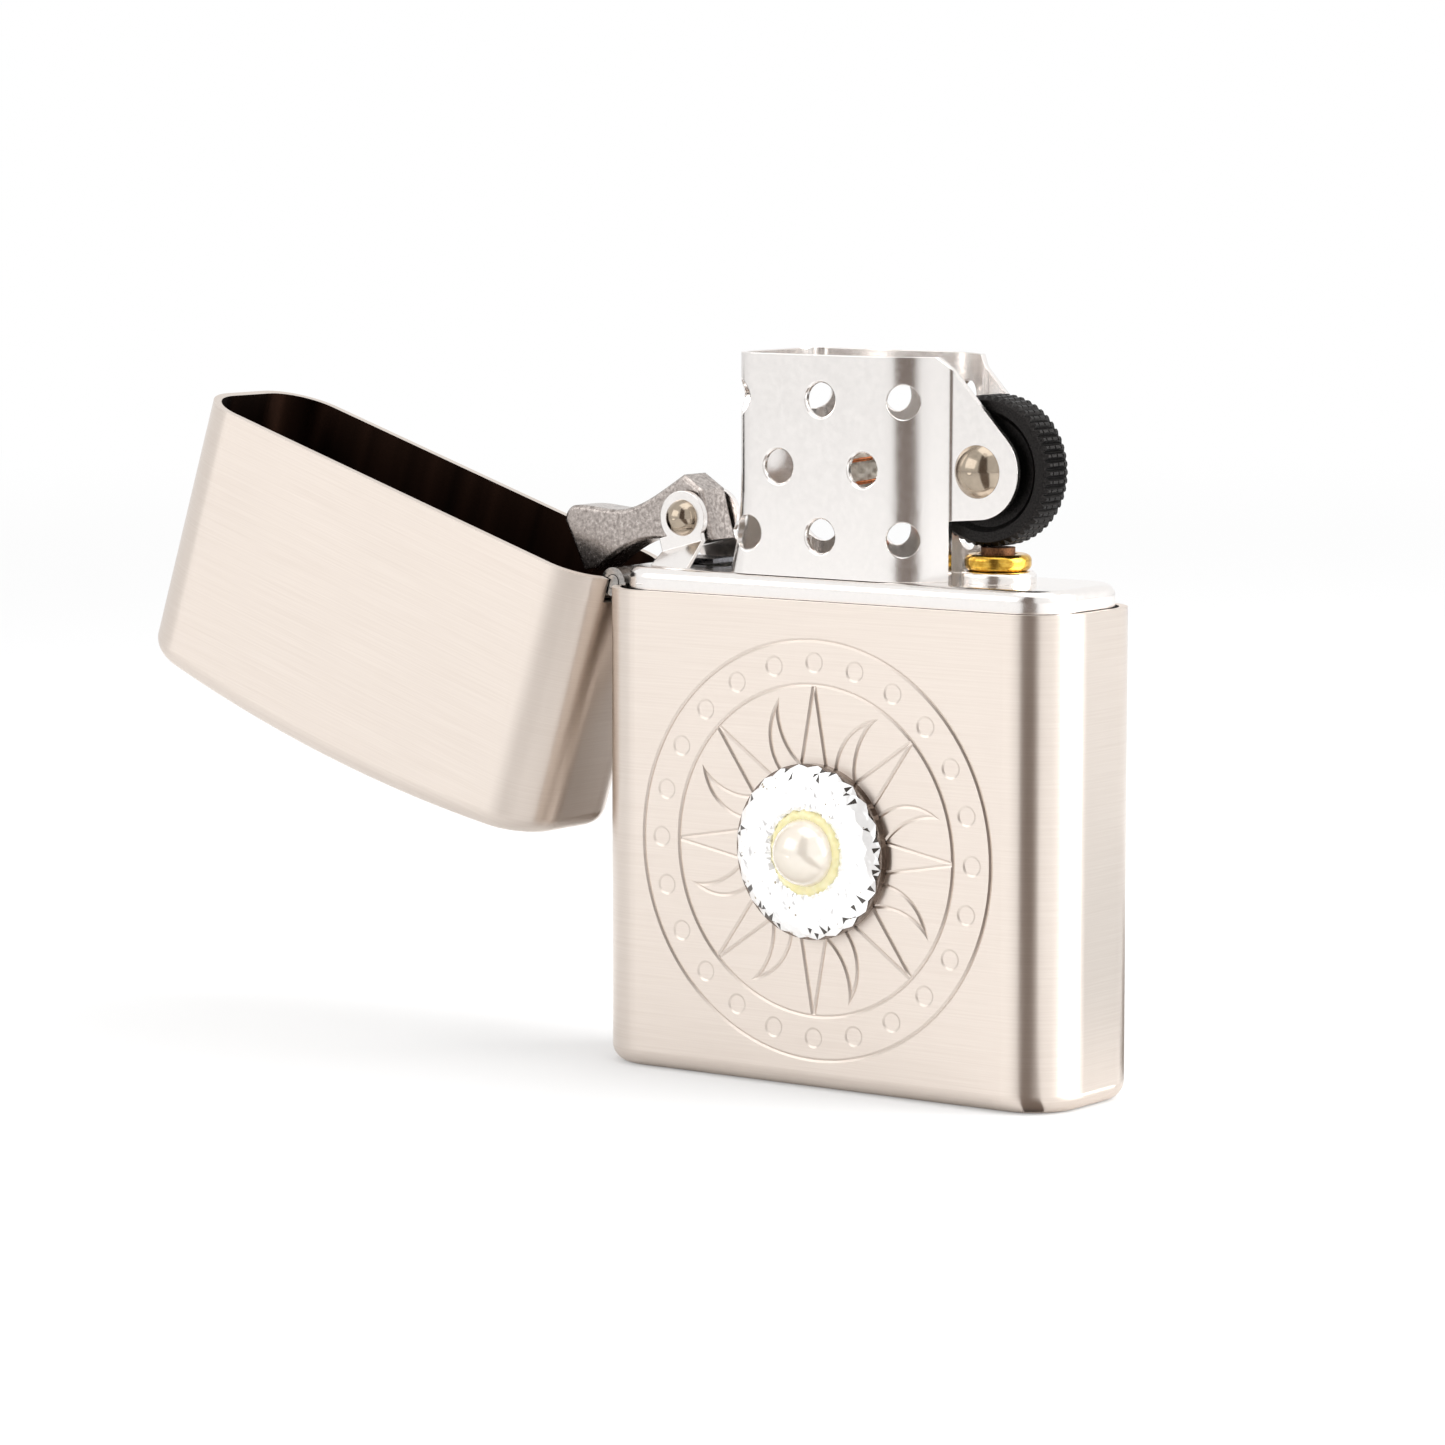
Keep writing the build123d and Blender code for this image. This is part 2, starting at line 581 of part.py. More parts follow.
def screen_body(inset):
    """Solid plug with the windscreen's outside shape, or its inside shape when inset."""
    foot = INSERT_TOP
    straight = foot + SCREEN_FLARE_HEIGHT
    middle_rise, middle_flare = SCREEN_FLARE_MIDDLE
    levels = [(foot, SCREEN_FLARE), (foot + middle_rise, middle_flare), (straight, 0.0)]
    lower = loft([Pos(0, 0, z) * screen_plan(flare, inset).face() for z, flare in levels])
    upper = Pos(0, 0, straight) * extrude(screen_plan(0.0, inset), SCREEN_TOP - straight)
    return lower + upper


def screen_side_view():
    """Front view that the windscreen is trimmed to: chimney and wheel ear."""
    top = SCREEN_TOP
    ear_low = RIM + EAR_LOWER_RISE
    left = SCREEN_LEFT - 2 * SCREEN_FLARE
    ear = Pos(WHEEL_X, WHEEL_Z) * Circle(EAR_RADIUS)
    root = Line((SCREEN_TOP_EDGE, ear_low), (SCREEN_TOP_EDGE, top))
    chimney = make_face(Polyline((left, INSERT_TOP), (SCREEN_SIDE_EDGE, INSERT_TOP),
                                 (SCREEN_SIDE_EDGE, ear_low + EAR_RADIUS / 4),
                                 (SCREEN_TOP_EDGE, top), (left, top), close=True))
    return chimney + make_hull(ear.edges() + root.edges())


def vent(x, y, rise, turn):
    """Punch for one vent hole with a broken outer edge, square to the wall at that place."""
    hole = Cylinder(VENT_RADIUS, 2 * SCREEN_CORNER)
    rim = Pos(0, 0, -VENT_RIM / 2) * Cone(VENT_RADIUS, VENT_RADIUS + VENT_RIM, VENT_RIM)
    return Pos(x, y, RIM + rise) * Rot(0, 0, turn) * Rot(90, 0, 0) * (hole + rim)


def vent_punches():
    """Staggered vent holes of the front wall: three above, two between, three below."""
    front = -SCREEN_FRONT
    upper, middle, lower = VENT_RISES
    rounding = SCREEN_CORNER * (1 - cos(radians(VENT_CORNER_TURN)))
    punches = [vent(SCREEN_LEFT + rounding, front + rounding, upper, -VENT_CORNER_TURN),
               vent(SCREEN_LEFT + VENT_FROM_LEFT, front, lower, 0)]
    neck_x, neck_y = SCREEN_NECK_START + VENT_FROM_NECK[0], front + VENT_FROM_NECK[1]
    for rise in (upper, lower):
        punches.append(vent(VENT_MIDDLE, front, rise, 0))
        punches.append(vent(neck_x, neck_y, rise, VENT_NECK_TURN))
    for x in (VENT_MIDDLE - VENT_PITCH / 2, VENT_MIDDLE + VENT_PITCH / 2):
        punches.append(vent(x, front, middle, 0))
    return punches


def windscreen():
    """Pierced chimney with the two ears that carry the striker wheel."""
    wall = screen_body(0.0) - screen_body(SCREEN_WALL)
    screen = wall & across(screen_side_view(), CASE_DEPTH)
    for punch in vent_punches():
        screen -= [punch, mirror(punch, Plane.XZ)]
    return screen - rod_along_y(WHEEL_X, WHEEL_Z, WHEEL_RIVET_RADIUS + RIVET_FIT,
                                -CASE_DEPTH, CASE_DEPTH)


# --- Striker wheel ----------------------------------------------------------------------------

def tooth_gap():
    """One V-groove cut straight across the tread."""
    outer = WHEEL_RADIUS + TOOTH_DEPTH / 3
    root = WHEEL_RADIUS - TOOTH_DEPTH
    half_mouth = outer * sin(pi / WHEEL_TEETH) * (1 - TOOTH_LAND)
    return make_face(Polyline((0, root), (half_mouth, outer), (-half_mouth, outer), close=True))


def tread_groove(level):
    """Round V-groove that parts the tread into narrower bands of teeth."""
    reach = TOOTH_DEPTH / 2
    wedge = make_face(Polyline((WHEEL_RADIUS + reach, level + reach),
                               (WHEEL_RADIUS - reach, level),
                               (WHEEL_RADIUS + reach, level - reach), close=True))
    return revolve(Plane.XZ * wedge, Axis.Z)


def flint_wheel():
    """Hardened wheel with a toothed tread, dished sides and a short hub."""
    edge = WHEEL_EDGE
    hub_half = EAR_INNER - SIDE_PLAY
    half = [(0, 0), (WHEEL_RADIUS, 0), (WHEEL_RADIUS, WHEEL_HALF_WIDTH - edge),
            (WHEEL_RADIUS - edge, WHEEL_HALF_WIDTH), (WHEEL_DISH_RADIUS, WHEEL_HALF_WIDTH),
            (WHEEL_DISH_RADIUS - WHEEL_DISH_DEPTH, WHEEL_HALF_WIDTH - WHEEL_DISH_DEPTH),
            (WHEEL_HUB_RADIUS, WHEEL_HALF_WIDTH - WHEEL_DISH_DEPTH),
            (WHEEL_HUB_RADIUS, hub_half), (0, hub_half)]
    profile = make_face(Polyline(*half, close=True))
    disc = revolve(Plane.XZ * profile, Axis.Z)
    disc += mirror(disc, Plane.XY)
    gap = tooth_gap()
    gaps = [Rot(0, 0, index * 360 / WHEEL_TEETH) * extrude(gap, WHEEL_HALF_WIDTH, both=True)
            for index in range(WHEEL_TEETH)]
    disc -= gaps
    for index in range(TREAD_GROOVES):
        level = WHEEL_HALF_WIDTH * ((index + 1) * 2 / (TREAD_GROOVES + 1) - 1)
        disc -= tread_groove(level)
    disc -= Cylinder(WHEEL_RIVET_RADIUS + RUNNING_FIT, CASE_DEPTH)
    return Pos(WHEEL_CENTRE) * Rot(90, 0, 0) * disc


def wheel_rivet():
    """Domed rivet that is the axle of the striker wheel."""
    return rivet_along_y(WHEEL_X, WHEEL_Z, WHEEL_RIVET_RADIUS, WHEEL_RIVET_HEAD_RADIUS,
                         WHEEL_RIVET_HEAD_HEIGHT, EAR_OUTER)


# --- Flint column -----------------------------------------------------------------------------

def flint_tube():
    """Brass tube from the felt pad up to a rolled flange under the wheel."""
    flange_bottom = INSERT_TOP + COLLAR_HEIGHT
    tube = rod_along_z(FLINT_X, 0, TUBE_OUTER_RADIUS, TUBE_BOTTOM, TUBE_TOP)
    flange = rod_along_z(FLINT_X, 0, TUBE_FLANGE_RADIUS, flange_bottom, TUBE_TOP)
    flange = fillet(flange.edges().filter_by(GeomType.CIRCLE), TUBE_FLANGE_HEIGHT * 0.4)
    return tube + flange - rod_along_z(FLINT_X, 0, TUBE_INNER_RADIUS, 0, TUBE_TOP + CUT_OVERRUN)


def flint_collar():
    """Flared steel collar that the tube is swaged over."""
    collar = rod_along_z(FLINT_X, 0, COLLAR_RADIUS, INSERT_TOP, INSERT_TOP + COLLAR_HEIGHT)
    collar = fillet(collar.edges().group_by(Axis.Z)[-1], COLLAR_HEIGHT * 0.45)
    return collar - rod_along_z(FLINT_X, 0, TUBE_OUTER_RADIUS + RIVET_FIT, INSERT_TOP - CUT_OVERRUN,
                                INSERT_TOP + COLLAR_HEIGHT + CUT_OVERRUN)


def flint():
    """Round flint pressed against the wheel."""
    return rod_along_z(FLINT_X, 0, FLINT_RADIUS, PLUNGER_TOP, FLINT_TOP)


def flint_plunger():
    """Brass plug between flint and spring, with a nose that centres the spring."""
    nose_radius = SPRING_RADIUS - SPRING_WIRE_RADIUS - RUNNING_FIT
    head = rod_along_z(FLINT_X, 0, FLINT_RADIUS, PLUNGER_SHOULDER, PLUNGER_TOP)
    return head + rod_along_z(FLINT_X, 0, nose_radius, PLUNGER_SHOULDER - PLUNGER_NOSE_LENGTH,
                              PLUNGER_SHOULDER)


def flint_spring():
    """Coil spring between the screw and the plunger."""
    low = TUBE_BOTTOM + SCREW_SHANK_LENGTH + SPRING_WIRE_RADIUS + RUNNING_FIT
    high = PLUNGER_SHOULDER - SPRING_WIRE_RADIUS - RUNNING_FIT
    coil = Pos(FLINT_X, 0, low) * Helix(SPRING_PITCH, high - low, SPRING_RADIUS)
    section = Plane(origin=coil @ 0, z_dir=coil % 0) * Circle(SPRING_WIRE_RADIUS)
    return sweep(section, coil, is_frenet=True)


def flint_screw():
    """Slotted screw that closes the bottom of the tube."""
    head = rod_along_z(FLINT_X, 0, SCREW_HEAD_RADIUS, SCREW_BOTTOM, TUBE_BOTTOM)
    shank = rod_along_z(FLINT_X, 0, TUBE_INNER_RADIUS - RUNNING_FIT, TUBE_BOTTOM,
                        TUBE_BOTTOM + SCREW_SHANK_LENGTH)
    slot = Pos(FLINT_X, 0, SCREW_BOTTOM) * Box(3 * SCREW_HEAD_RADIUS, SCREW_SLOT_WIDTH,
                                               SCREW_HEAD_HEIGHT)
    return head - slot + shank


# --- Fuel packing -------------------------------------------------------------------------------

def wick_path():
    """Centre line of the wick: down from the chimney, then to and fro between the pads."""
    left = PACKING_LEFT + WICK_RADIUS
    right = PACKING_RIGHT - WICK_RADIUS
    return FilletPolyline((0, WICK_TOP), (0, UPPER_RUN), (left, UPPER_RUN), (left, LOWER_RUN),
                          (right, LOWER_RUN), radius=WICK_BEND)


def wick():
    """Round cotton wick."""
    path = side_plane() * wick_path()
    section = Plane(origin=path @ 0, z_dir=path % 0) * Circle(WICK_RADIUS)
    return sweep(section, path)


def wick_wire():
    """Copper wire wound round the wick where it stands in the chimney."""
    low = INSERT_TOP + WICK_WIRE_INSETS[0]
    high = WICK_TOP - WICK_WIRE_INSETS[1]
    radius = WICK_RADIUS + WICK_WIRE_RADIUS + RUNNING_FIT
    coil = Pos(0, 0, low) * Helix((high - low) / WICK_WIRE_TURNS, high - low, radius)
    section = Plane(origin=coil @ 0, z_dir=coil % 0) * Circle(WICK_WIRE_RADIUS)
    return sweep(section, coil, is_frenet=True)


def cotton_pads():
    """Four pads of cotton that fill the can round the wick."""
    gap = WICK_RADIUS + SOFT_CLEARANCE
    ceiling = INSERT_CEILING - CAM_SPRING_BEND - SOFT_CLEARANCE
    half_depth = INSERT_HALF_DEPTH - INSERT_WALL - SOFT_CLEARANCE
    inner_left = PACKING_LEFT + 2 * WICK_RADIUS + SOFT_CLEARANCE
    spaces = [
        ((PACKING_LEFT, -gap), (UPPER_RUN + gap, ceiling)),
        ((gap, PACKING_RIGHT), (UPPER_RUN + gap, ceiling)),
        ((inner_left, PACKING_RIGHT), (LOWER_RUN + gap, UPPER_RUN - gap)),
        ((PACKING_LEFT, PACKING_RIGHT), (FELT_TOP + SOFT_CLEARANCE, LOWER_RUN - gap)),
    ]
    pads = [box_between(x_range, (-half_depth, half_depth), z_range)
            for x_range, z_range in spaces]
    return Compound(children=[fillet(pad.edges(), PAD_ROUNDING) for pad in pads])


def felt_pad():
    """Felt pad that closes the bottom of the can, with a hole for the flint tube."""
    half_width = (INSERT_RIGHT - INSERT_LEFT) / 2 - INSERT_WALL - SOFT_CLEARANCE
    half_depth = INSERT_HALF_DEPTH - INSERT_WALL - SOFT_CLEARANCE
    middle = (INSERT_RIGHT + INSERT_LEFT) / 2
    corner = INSERT_CORNER - INSERT_WALL - SOFT_CLEARANCE
    pad = Pos(0, 0, FELT_BOTTOM) * extrude(
        rounded_footprint(half_width, half_depth, corner, middle), FELT_THICKNESS)
    return pad - rod_along_z(FLINT_X, 0, SCREW_HEAD_RADIUS + SOFT_CLEARANCE, 0, RIM)


# --- Medallion ----------------------------------------------------------------------------------

def medallion_cup():
    """Turned cup that is glued to the case."""
    cup = Pos(0, 0, CUP_HEIGHT / 2) * Cylinder(CUP_RADIUS, CUP_HEIGHT)
    cup -= Pos(0, 0, CUP_HEIGHT) * Cylinder(CUP_RADIUS - CUP_RIM, 2 * CUP_RECESS)
    return on_face(cup)


def facet_ring(radius, phase):
    """Regular polygon with one corner for each facet of the stone."""
    return Rot(0, 0, phase) * RegularPolygon(radius, STONE_FACETS)


def medallion_stone():
    """Faceted glass ring with a round pit for the pearl."""
    base = CUP_HEIGHT - CUP_RECESS
    top = CUP_HEIGHT + STONE_HEIGHT
    girdle = CUP_HEIGHT + STONE_GIRDLE
    girdle_radius = CUP_RADIUS - STONE_GIRDLE_INSET
    half_step = 180 / STONE_FACETS
    seat = extrude(Circle(CUP_RADIUS - CUP_RIM - RUNNING_FIT), girdle - base)
    table = Pos(0, 0, top - girdle) * facet_ring(girdle_radius - STONE_TABLE_INSET, half_step)
    crown = loft([facet_ring(girdle_radius, 0).face(), table.face()], ruled=True)
    stone = Pos(0, 0, base) * seat + Pos(0, 0, girdle) * crown
    stone -= Pos(0, 0, top) * Cylinder(PIT_RADIUS, 2 * STONE_HEIGHT)
    return on_face(stone)


def medallion_pearl():
    """Flat-backed pearl."""
    ball = Pos(0, 0, PEARL_CENTRE) * Sphere(PEARL_RADIUS)
    room = Pos(0, 0, CUP_HEIGHT + CASE_DEPTH / 2) * Box(CASE_DEPTH, CASE_DEPTH, CASE_DEPTH)
    return on_face(ball & room)


def medallion_glue():
    """Fillet of set glue between pearl and stone."""
    ring = Pos(0, 0, CUP_HEIGHT + GLUE_HEIGHT / 2) * Cylinder(PIT_RADIUS - RUNNING_FIT, GLUE_HEIGHT)
    ring -= Pos(0, 0, PEARL_CENTRE) * Sphere(PEARL_RADIUS + RUNNING_FIT)
    return on_face(ring)


# --- Write every piece ----------------------------------------------------------------------------

save("case_shell", case_shell())
save("case_hinge_leaf", hinge_leaf(0, -1))
save("hinge_pin", hinge_pin())
save("insert_can", insert_can())
save("windscreen", windscreen())
save("wheel_rivet", wheel_rivet())
save("flint_wheel", flint_wheel())
save("flint_tube", flint_tube())
save("flint_collar", flint_collar())
save("flint", flint())
save("flint_plunger", flint_plunger())
save("flint_spring", flint_spring())
save("flint_screw", flint_screw())
save("cam", cam())
save("cam_rivet", cam_rivet())
save("cam_spring", cam_spring())
save("cam_spring_rivet", cam_spring_rivet())
save("wick", wick())
save("wick_wire", wick_wire())
save("cotton_packing", cotton_pads())
save("felt_pad", felt_pad())
save("medallion_cup", medallion_cup())
save("medallion_stone", medallion_stone())
save("medallion_pearl", medallion_pearl())
save("medallion_glue", medallion_glue())
save("lid_shell", shut_lid().rotate(HINGE_AXIS, OPEN_ANGLE))
save("lid_hinge_leaf", hinge_leaf(1, 1).rotate(HINGE_AXIS, OPEN_ANGLE))
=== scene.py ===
# %% [markdown]
# # A flip-top lighter in brushed nickel, standing open
#
# This lesson dresses a finished CAD model. The frame below brings in every rigid piece
# of the lighter at its true place, in metres, and the cells after it add what CAD leaves
# out: the finish of each metal, the cut stone, the pearl and its glue, and the soft parts.
# +X points from the hinge to the striker wheel, -Y is the decorated face and +Z is up.

import json
import math
import random

import bpy
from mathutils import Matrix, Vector, noise


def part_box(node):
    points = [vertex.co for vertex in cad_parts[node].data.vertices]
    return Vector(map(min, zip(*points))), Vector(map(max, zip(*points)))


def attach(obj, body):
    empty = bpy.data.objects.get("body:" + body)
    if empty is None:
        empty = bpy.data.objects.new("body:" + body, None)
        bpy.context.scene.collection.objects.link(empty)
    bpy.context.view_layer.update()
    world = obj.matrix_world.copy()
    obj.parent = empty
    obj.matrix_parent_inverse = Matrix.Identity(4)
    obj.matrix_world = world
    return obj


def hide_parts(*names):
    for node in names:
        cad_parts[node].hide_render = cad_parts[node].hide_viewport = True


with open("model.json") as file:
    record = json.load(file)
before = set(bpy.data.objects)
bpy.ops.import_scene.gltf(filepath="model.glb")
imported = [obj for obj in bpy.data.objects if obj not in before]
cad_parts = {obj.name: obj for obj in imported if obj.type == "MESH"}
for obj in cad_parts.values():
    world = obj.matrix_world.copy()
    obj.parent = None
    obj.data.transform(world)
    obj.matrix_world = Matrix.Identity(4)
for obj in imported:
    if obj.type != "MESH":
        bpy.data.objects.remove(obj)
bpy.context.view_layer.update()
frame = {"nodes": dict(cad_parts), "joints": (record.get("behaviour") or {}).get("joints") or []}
MM = 0.001

# %% [markdown]
# ## Camera
#
# A long lens from a few hand-widths away keeps the case's edges almost parallel. The
# camera is placed by an azimuth, an elevation and a distance about one target point
# between the open lid and the case, which is easier to reason about than raw positions.

# %% Camera
# The lens and the sensor are in millimetres, as on a real camera, and the rest in metres.
CAMERA_AZIMUTH = math.radians(36.1)
CAMERA_ELEVATION = math.radians(6.55)
CAMERA_DISTANCE = 0.3999
CAMERA_TARGET = Vector((-0.01252, 0.0, 0.02480))
LENS = 137.2
SENSOR_WIDTH = 36.0
NEAREST_SEEN = 0.01


def direction(azimuth, elevation):
    """Unit vector from the lighter towards something at these angles; azimuth 0 is in front."""
    level = math.cos(elevation)
    return Vector((math.sin(azimuth) * level, -math.cos(azimuth) * level, math.sin(elevation)))


def aimed(obj, azimuth, elevation, distance):
    """Put a camera, lamp or card at these angles, facing the target."""
    away = direction(azimuth, elevation)
    obj.location = CAMERA_TARGET + away * distance
    obj.rotation_euler = away.to_track_quat("Z", "Y").to_euler()
    bpy.context.scene.collection.objects.link(obj)
    return obj


camera_data = bpy.data.cameras.new("camera")
camera_data.sensor_width = SENSOR_WIDTH
camera_data.lens = LENS
camera_data.clip_start = NEAREST_SEEN
camera = aimed(bpy.data.objects.new("camera", camera_data),
               CAMERA_AZIMUTH, CAMERA_ELEVATION, CAMERA_DISTANCE)
bpy.context.scene.camera = camera
print("camera at", [round(value, 4) for value in camera.location])

# %% [markdown]
# ## Colours and nodes
#
# Colours are written as the hex values that a painter would pick on a screen. Cycles
# wants linear light, so one function turns them over. A second one adds a node with its
# settings and its links, so that each finish below reads as a short list of steps.


# %% Colour and node helpers
def linear(hex_colour, alpha=1.0):
    """Linear RGBA of an sRGB colour such as "#EADFD4"."""
    channels = [int(hex_colour[start:start + 2], 16) / 255 for start in (1, 3, 5)]
    return tuple(c / 12.92 if c <= 0.04045 else ((c + 0.055) / 1.055) ** 2.4
                 for c in channels) + (alpha,)


def add(tree, kind, inputs=None, **settings):
    """One node with its settings; inputs holds values, or sockets that are linked in."""
    made = tree.nodes.new("ShaderNode" + kind)
    for name, value in settings.items():
        setattr(made, name, value)
    for name, value in (inputs or {}).items():
        if isinstance(value, bpy.types.NodeSocket):
            tree.links.new(value, made.inputs[name])
        else:
            made.inputs[name].default_value = value
    return made


def new_finish(name, **sockets):
    """Material with one Principled shader, given as (material, tree, shader)."""
    material = bpy.data.materials.new(name)
    material.use_nodes = True
    tree = material.node_tree
    shader = tree.nodes["Principled BSDF"]
    for socket, value in sockets.items():
        shader.inputs[socket.replace("_", " ")].default_value = value
    return material, tree, shader


# Numbers of the sockets of a Mix node that mixes colours: factor, A, B and the result.
MIX_FACTOR, MIX_A, MIX_B, MIX_RESULT = 0, 6, 7, 2

# %% [markdown]
# ## Brushed nickel plate
#
# The case and the lid are brass pressings, plated with warm nickel and brushed along
# their length with a fine belt. The brushing gives the eye two things: a faint grain of
# horizontal strokes, and reflections that smear up and down but stay crisp from side to
# side. The grain is a noise that is stretched along the strokes. It measures along the
# wall with x + y, so the strokes run on round the corners. The smear is the shader's
# anisotropy, turned a quarter so that it lies across its tangent, the shell's own length.
# A little of Y is added to that tangent, so that the end walls, which the length meets
# head on, have a direction too. Real strokes are a few hundredths of a millimetre wide, and
# these are drawn about three times as wide, because finer ones would vanish at this
# viewing distance.
#
# Inside, neither shell is brushed. Its colour there is painted shade, dark brown and
# streaky, so a mask finds the walls that look back at the middle of the shell.

# %% Brushed nickel
STROKE_LENGTH = 9.0 * MM
STROKE_WIDTH = 0.13 * MM
SMUDGE_SIZE = 14.0 * MM
STREAK_WIDTH = 2.2 * MM
CROSSWISE = 0.1
# The shells are flat boxes, so the direction to the middle counts mostly across them. With
# even weights the sloping walls of the engraving would pass for the inside.
SHELL_WEIGHTS = (0.3, 1.0, 0.3)


def inside_mask(tree, centre):
    """1 where a shell's surface looks back at the shell's middle, which is the inside."""
    place = add(tree, "TexCoord")
    outward = add(tree, "VectorMath", {0: place.outputs["Object"], 1: centre},
                  operation="SUBTRACT")
    flattened = add(tree, "VectorMath", {0: outward.outputs[0], 1: SHELL_WEIGHTS},
                    operation="MULTIPLY")
    facing = add(tree, "VectorMath", {0: flattened.outputs[0], 1: place.outputs["Normal"]},
                 operation="DOT_PRODUCT")
    return add(tree, "Math", {0: facing.outputs["Value"], 1: 0.0}, operation="LESS_THAN").outputs[0]


def brushed_nickel(name, turn, centre):
    """Brushed plate whose strokes are turned about Y, with painted shade inside the shell."""
    material, tree, shader = new_finish(name, Metallic=1.0, Anisotropic=0.9,
                                        Anisotropic_Rotation=0.25)
    place = add(tree, "TexCoord").outputs["Object"]
    turned = add(tree, "VectorRotate", {"Vector": place, "Angle": turn}, rotation_type="Y_AXIS")
    along = add(tree, "VectorMath", {0: turned.outputs[0], 1: (1, 1, 0)}, operation="DOT_PRODUCT")
    split = add(tree, "SeparateXYZ", {0: turned.outputs[0]})
    u = add(tree, "Math", {0: along.outputs["Value"], 1: 1 / STROKE_LENGTH}, operation="MULTIPLY")
    v = add(tree, "Math", {0: split.outputs["Z"], 1: 1 / STROKE_WIDTH}, operation="MULTIPLY")
    grain_place = add(tree, "CombineXYZ", {"X": u.outputs[0], "Y": v.outputs[0]})
    grain = add(tree, "TexNoise", {"Vector": grain_place.outputs[0], "Scale": 1.0, "Detail": 3.0,
                                   "Roughness": 0.6}, noise_dimensions="2D")
    smudge = add(tree, "TexNoise", {"Vector": place, "Scale": 1 / SMUDGE_SIZE, "Detail": 4.0})
    tone = add(tree, "Mix", {MIX_FACTOR: grain.outputs[0], MIX_A: linear("#D7CBC1"),
                             MIX_B: linear("#E4DAD1")}, data_type="RGBA")
    inside = inside_mask(tree, centre)
    streak = add(tree, "TexNoise", {"W": along.outputs["Value"], "Scale": 1 / STREAK_WIDTH,
                                    "Detail": 2.0}, noise_dimensions="1D")
    # Painted shade for the inside of the shell: dark brown and streaky.
    inside_shade = add(tree, "Mix", {MIX_FACTOR: streak.outputs[0], MIX_A: linear("#080605"),
                              MIX_B: linear("#34221A")}, data_type="RGBA")
    colour = add(tree, "Mix", {MIX_FACTOR: inside, MIX_A: tone.outputs[MIX_RESULT],
                               MIX_B: inside_shade.outputs[MIX_RESULT]}, data_type="RGBA")
    gloss = add(tree, "MapRange", {"Value": smudge.outputs[0], "From Min": 0.3, "From Max": 0.7,
                                   "To Min": 0.30, "To Max": 0.37})
    bump = add(tree, "Bump", {"Height": grain.outputs[0], "Strength": 0.35, "Distance": 0.0015 * MM})
    lengthwise = (math.cos(turn), CROSSWISE, math.sin(turn))
    tangent = add(tree, "VectorTransform", {"Vector": lengthwise}, vector_type="VECTOR",
                  convert_from="OBJECT", convert_to="WORLD")
    tree.links.new(colour.outputs[MIX_RESULT], shader.inputs["Base Color"])
    tree.links.new(gloss.outputs[0], shader.inputs["Roughness"])
    tree.links.new(bump.outputs[0], shader.inputs["Normal"])
    tree.links.new(tangent.outputs[0], shader.inputs["Tangent"])
    return material


def middle(node):
    """Centre of a CAD piece's box."""
    low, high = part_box(node)
    return (low + high) / 2


def dress(material, *nodes):
    """Give one finish to several CAD pieces."""
    for node in nodes:
        mesh = frame["nodes"][node].data
        mesh.materials.clear()
        mesh.materials.append(material)
    print(material.name, "on", ", ".join(nodes))


lid_hinge = next(joint for joint in frame["joints"] if joint["name"] == "lid_hinge")
LID_TURN = -math.radians(lid_hinge["range_deg"][0])

dress(brushed_nickel("brushed_nickel_case", 0.0, middle("case_shell")), "case_shell")
dress(brushed_nickel("brushed_nickel_lid", LID_TURN, middle("lid_shell")), "lid_shell")

# %% [markdown]
# ## Polished and satin metals
#
# The insert and its windscreen are stainless sheet with a bright plated finish. Pressing
# leaves the sheet very slightly wavy, and that bends the reflections more than any scratch,
# so the finish is a smooth metal with a gentle wide ripple and a faint fine haze. The other
# metals differ in their two tones, in haze and in the size and depth of their grain, so one
# recipe with those values serves them all. Its bevel node rounds the shading of every
# edge, as tumbling and plating do, and gives each edge its thin bright line.


# %% Plain metals
RIPPLE_SIZE = 6 * MM
# The grain varies the roughness between these two shares of it.
SMOOTHEST = 0.85
ROUGHEST = 1.2


def plain_metal(name, dark, light, roughness, grain_size, grain_depth=0.0, ripple_depth=0.0,
                edge_radius=0.05 * MM):
    """Metal between two tones, with fine grain, wide ripple and soft edges; sizes in metres."""
    material, tree, shader = new_finish(name, Metallic=1.0)
    place = add(tree, "TexCoord").outputs["Object"]
    grain = add(tree, "TexNoise", {"Vector": place, "Scale": 1 / grain_size, "Detail": 5.0,
                                   "Roughness": 0.65})
    ripple = add(tree, "TexNoise", {"Vector": place, "Scale": 1 / RIPPLE_SIZE, "Detail": 1.0})
    tone_factor = add(tree, "MapRange", {"Value": grain.outputs[0], "From Min": 0.35,
                                         "From Max": 0.65})
    tone = add(tree, "Mix", {MIX_FACTOR: tone_factor.outputs[0], MIX_A: linear(dark),
                             MIX_B: linear(light)}, data_type="RGBA")
    gloss = add(tree, "MapRange", {"Value": grain.outputs[0], "From Min": 0.3, "From Max": 0.7,
                                   "To Min": SMOOTHEST * roughness, "To Max": ROUGHEST * roughness})
    edge = add(tree, "Bevel", {"Radius": edge_radius}, samples=6)
    fine = add(tree, "Bump", {"Height": grain.outputs[0], "Strength": 1.0,
                              "Distance": grain_depth, "Normal": edge.outputs[0]})
    wide = add(tree, "Bump", {"Height": ripple.outputs[0], "Strength": 1.0,
                              "Distance": ripple_depth, "Normal": fine.outputs[0]})
    tree.links.new(tone.outputs[MIX_RESULT], shader.inputs["Base Color"])
    tree.links.new(gloss.outputs[0], shader.inputs["Roughness"])
    tree.links.new(wide.outputs[0], shader.inputs["Normal"])
    return material


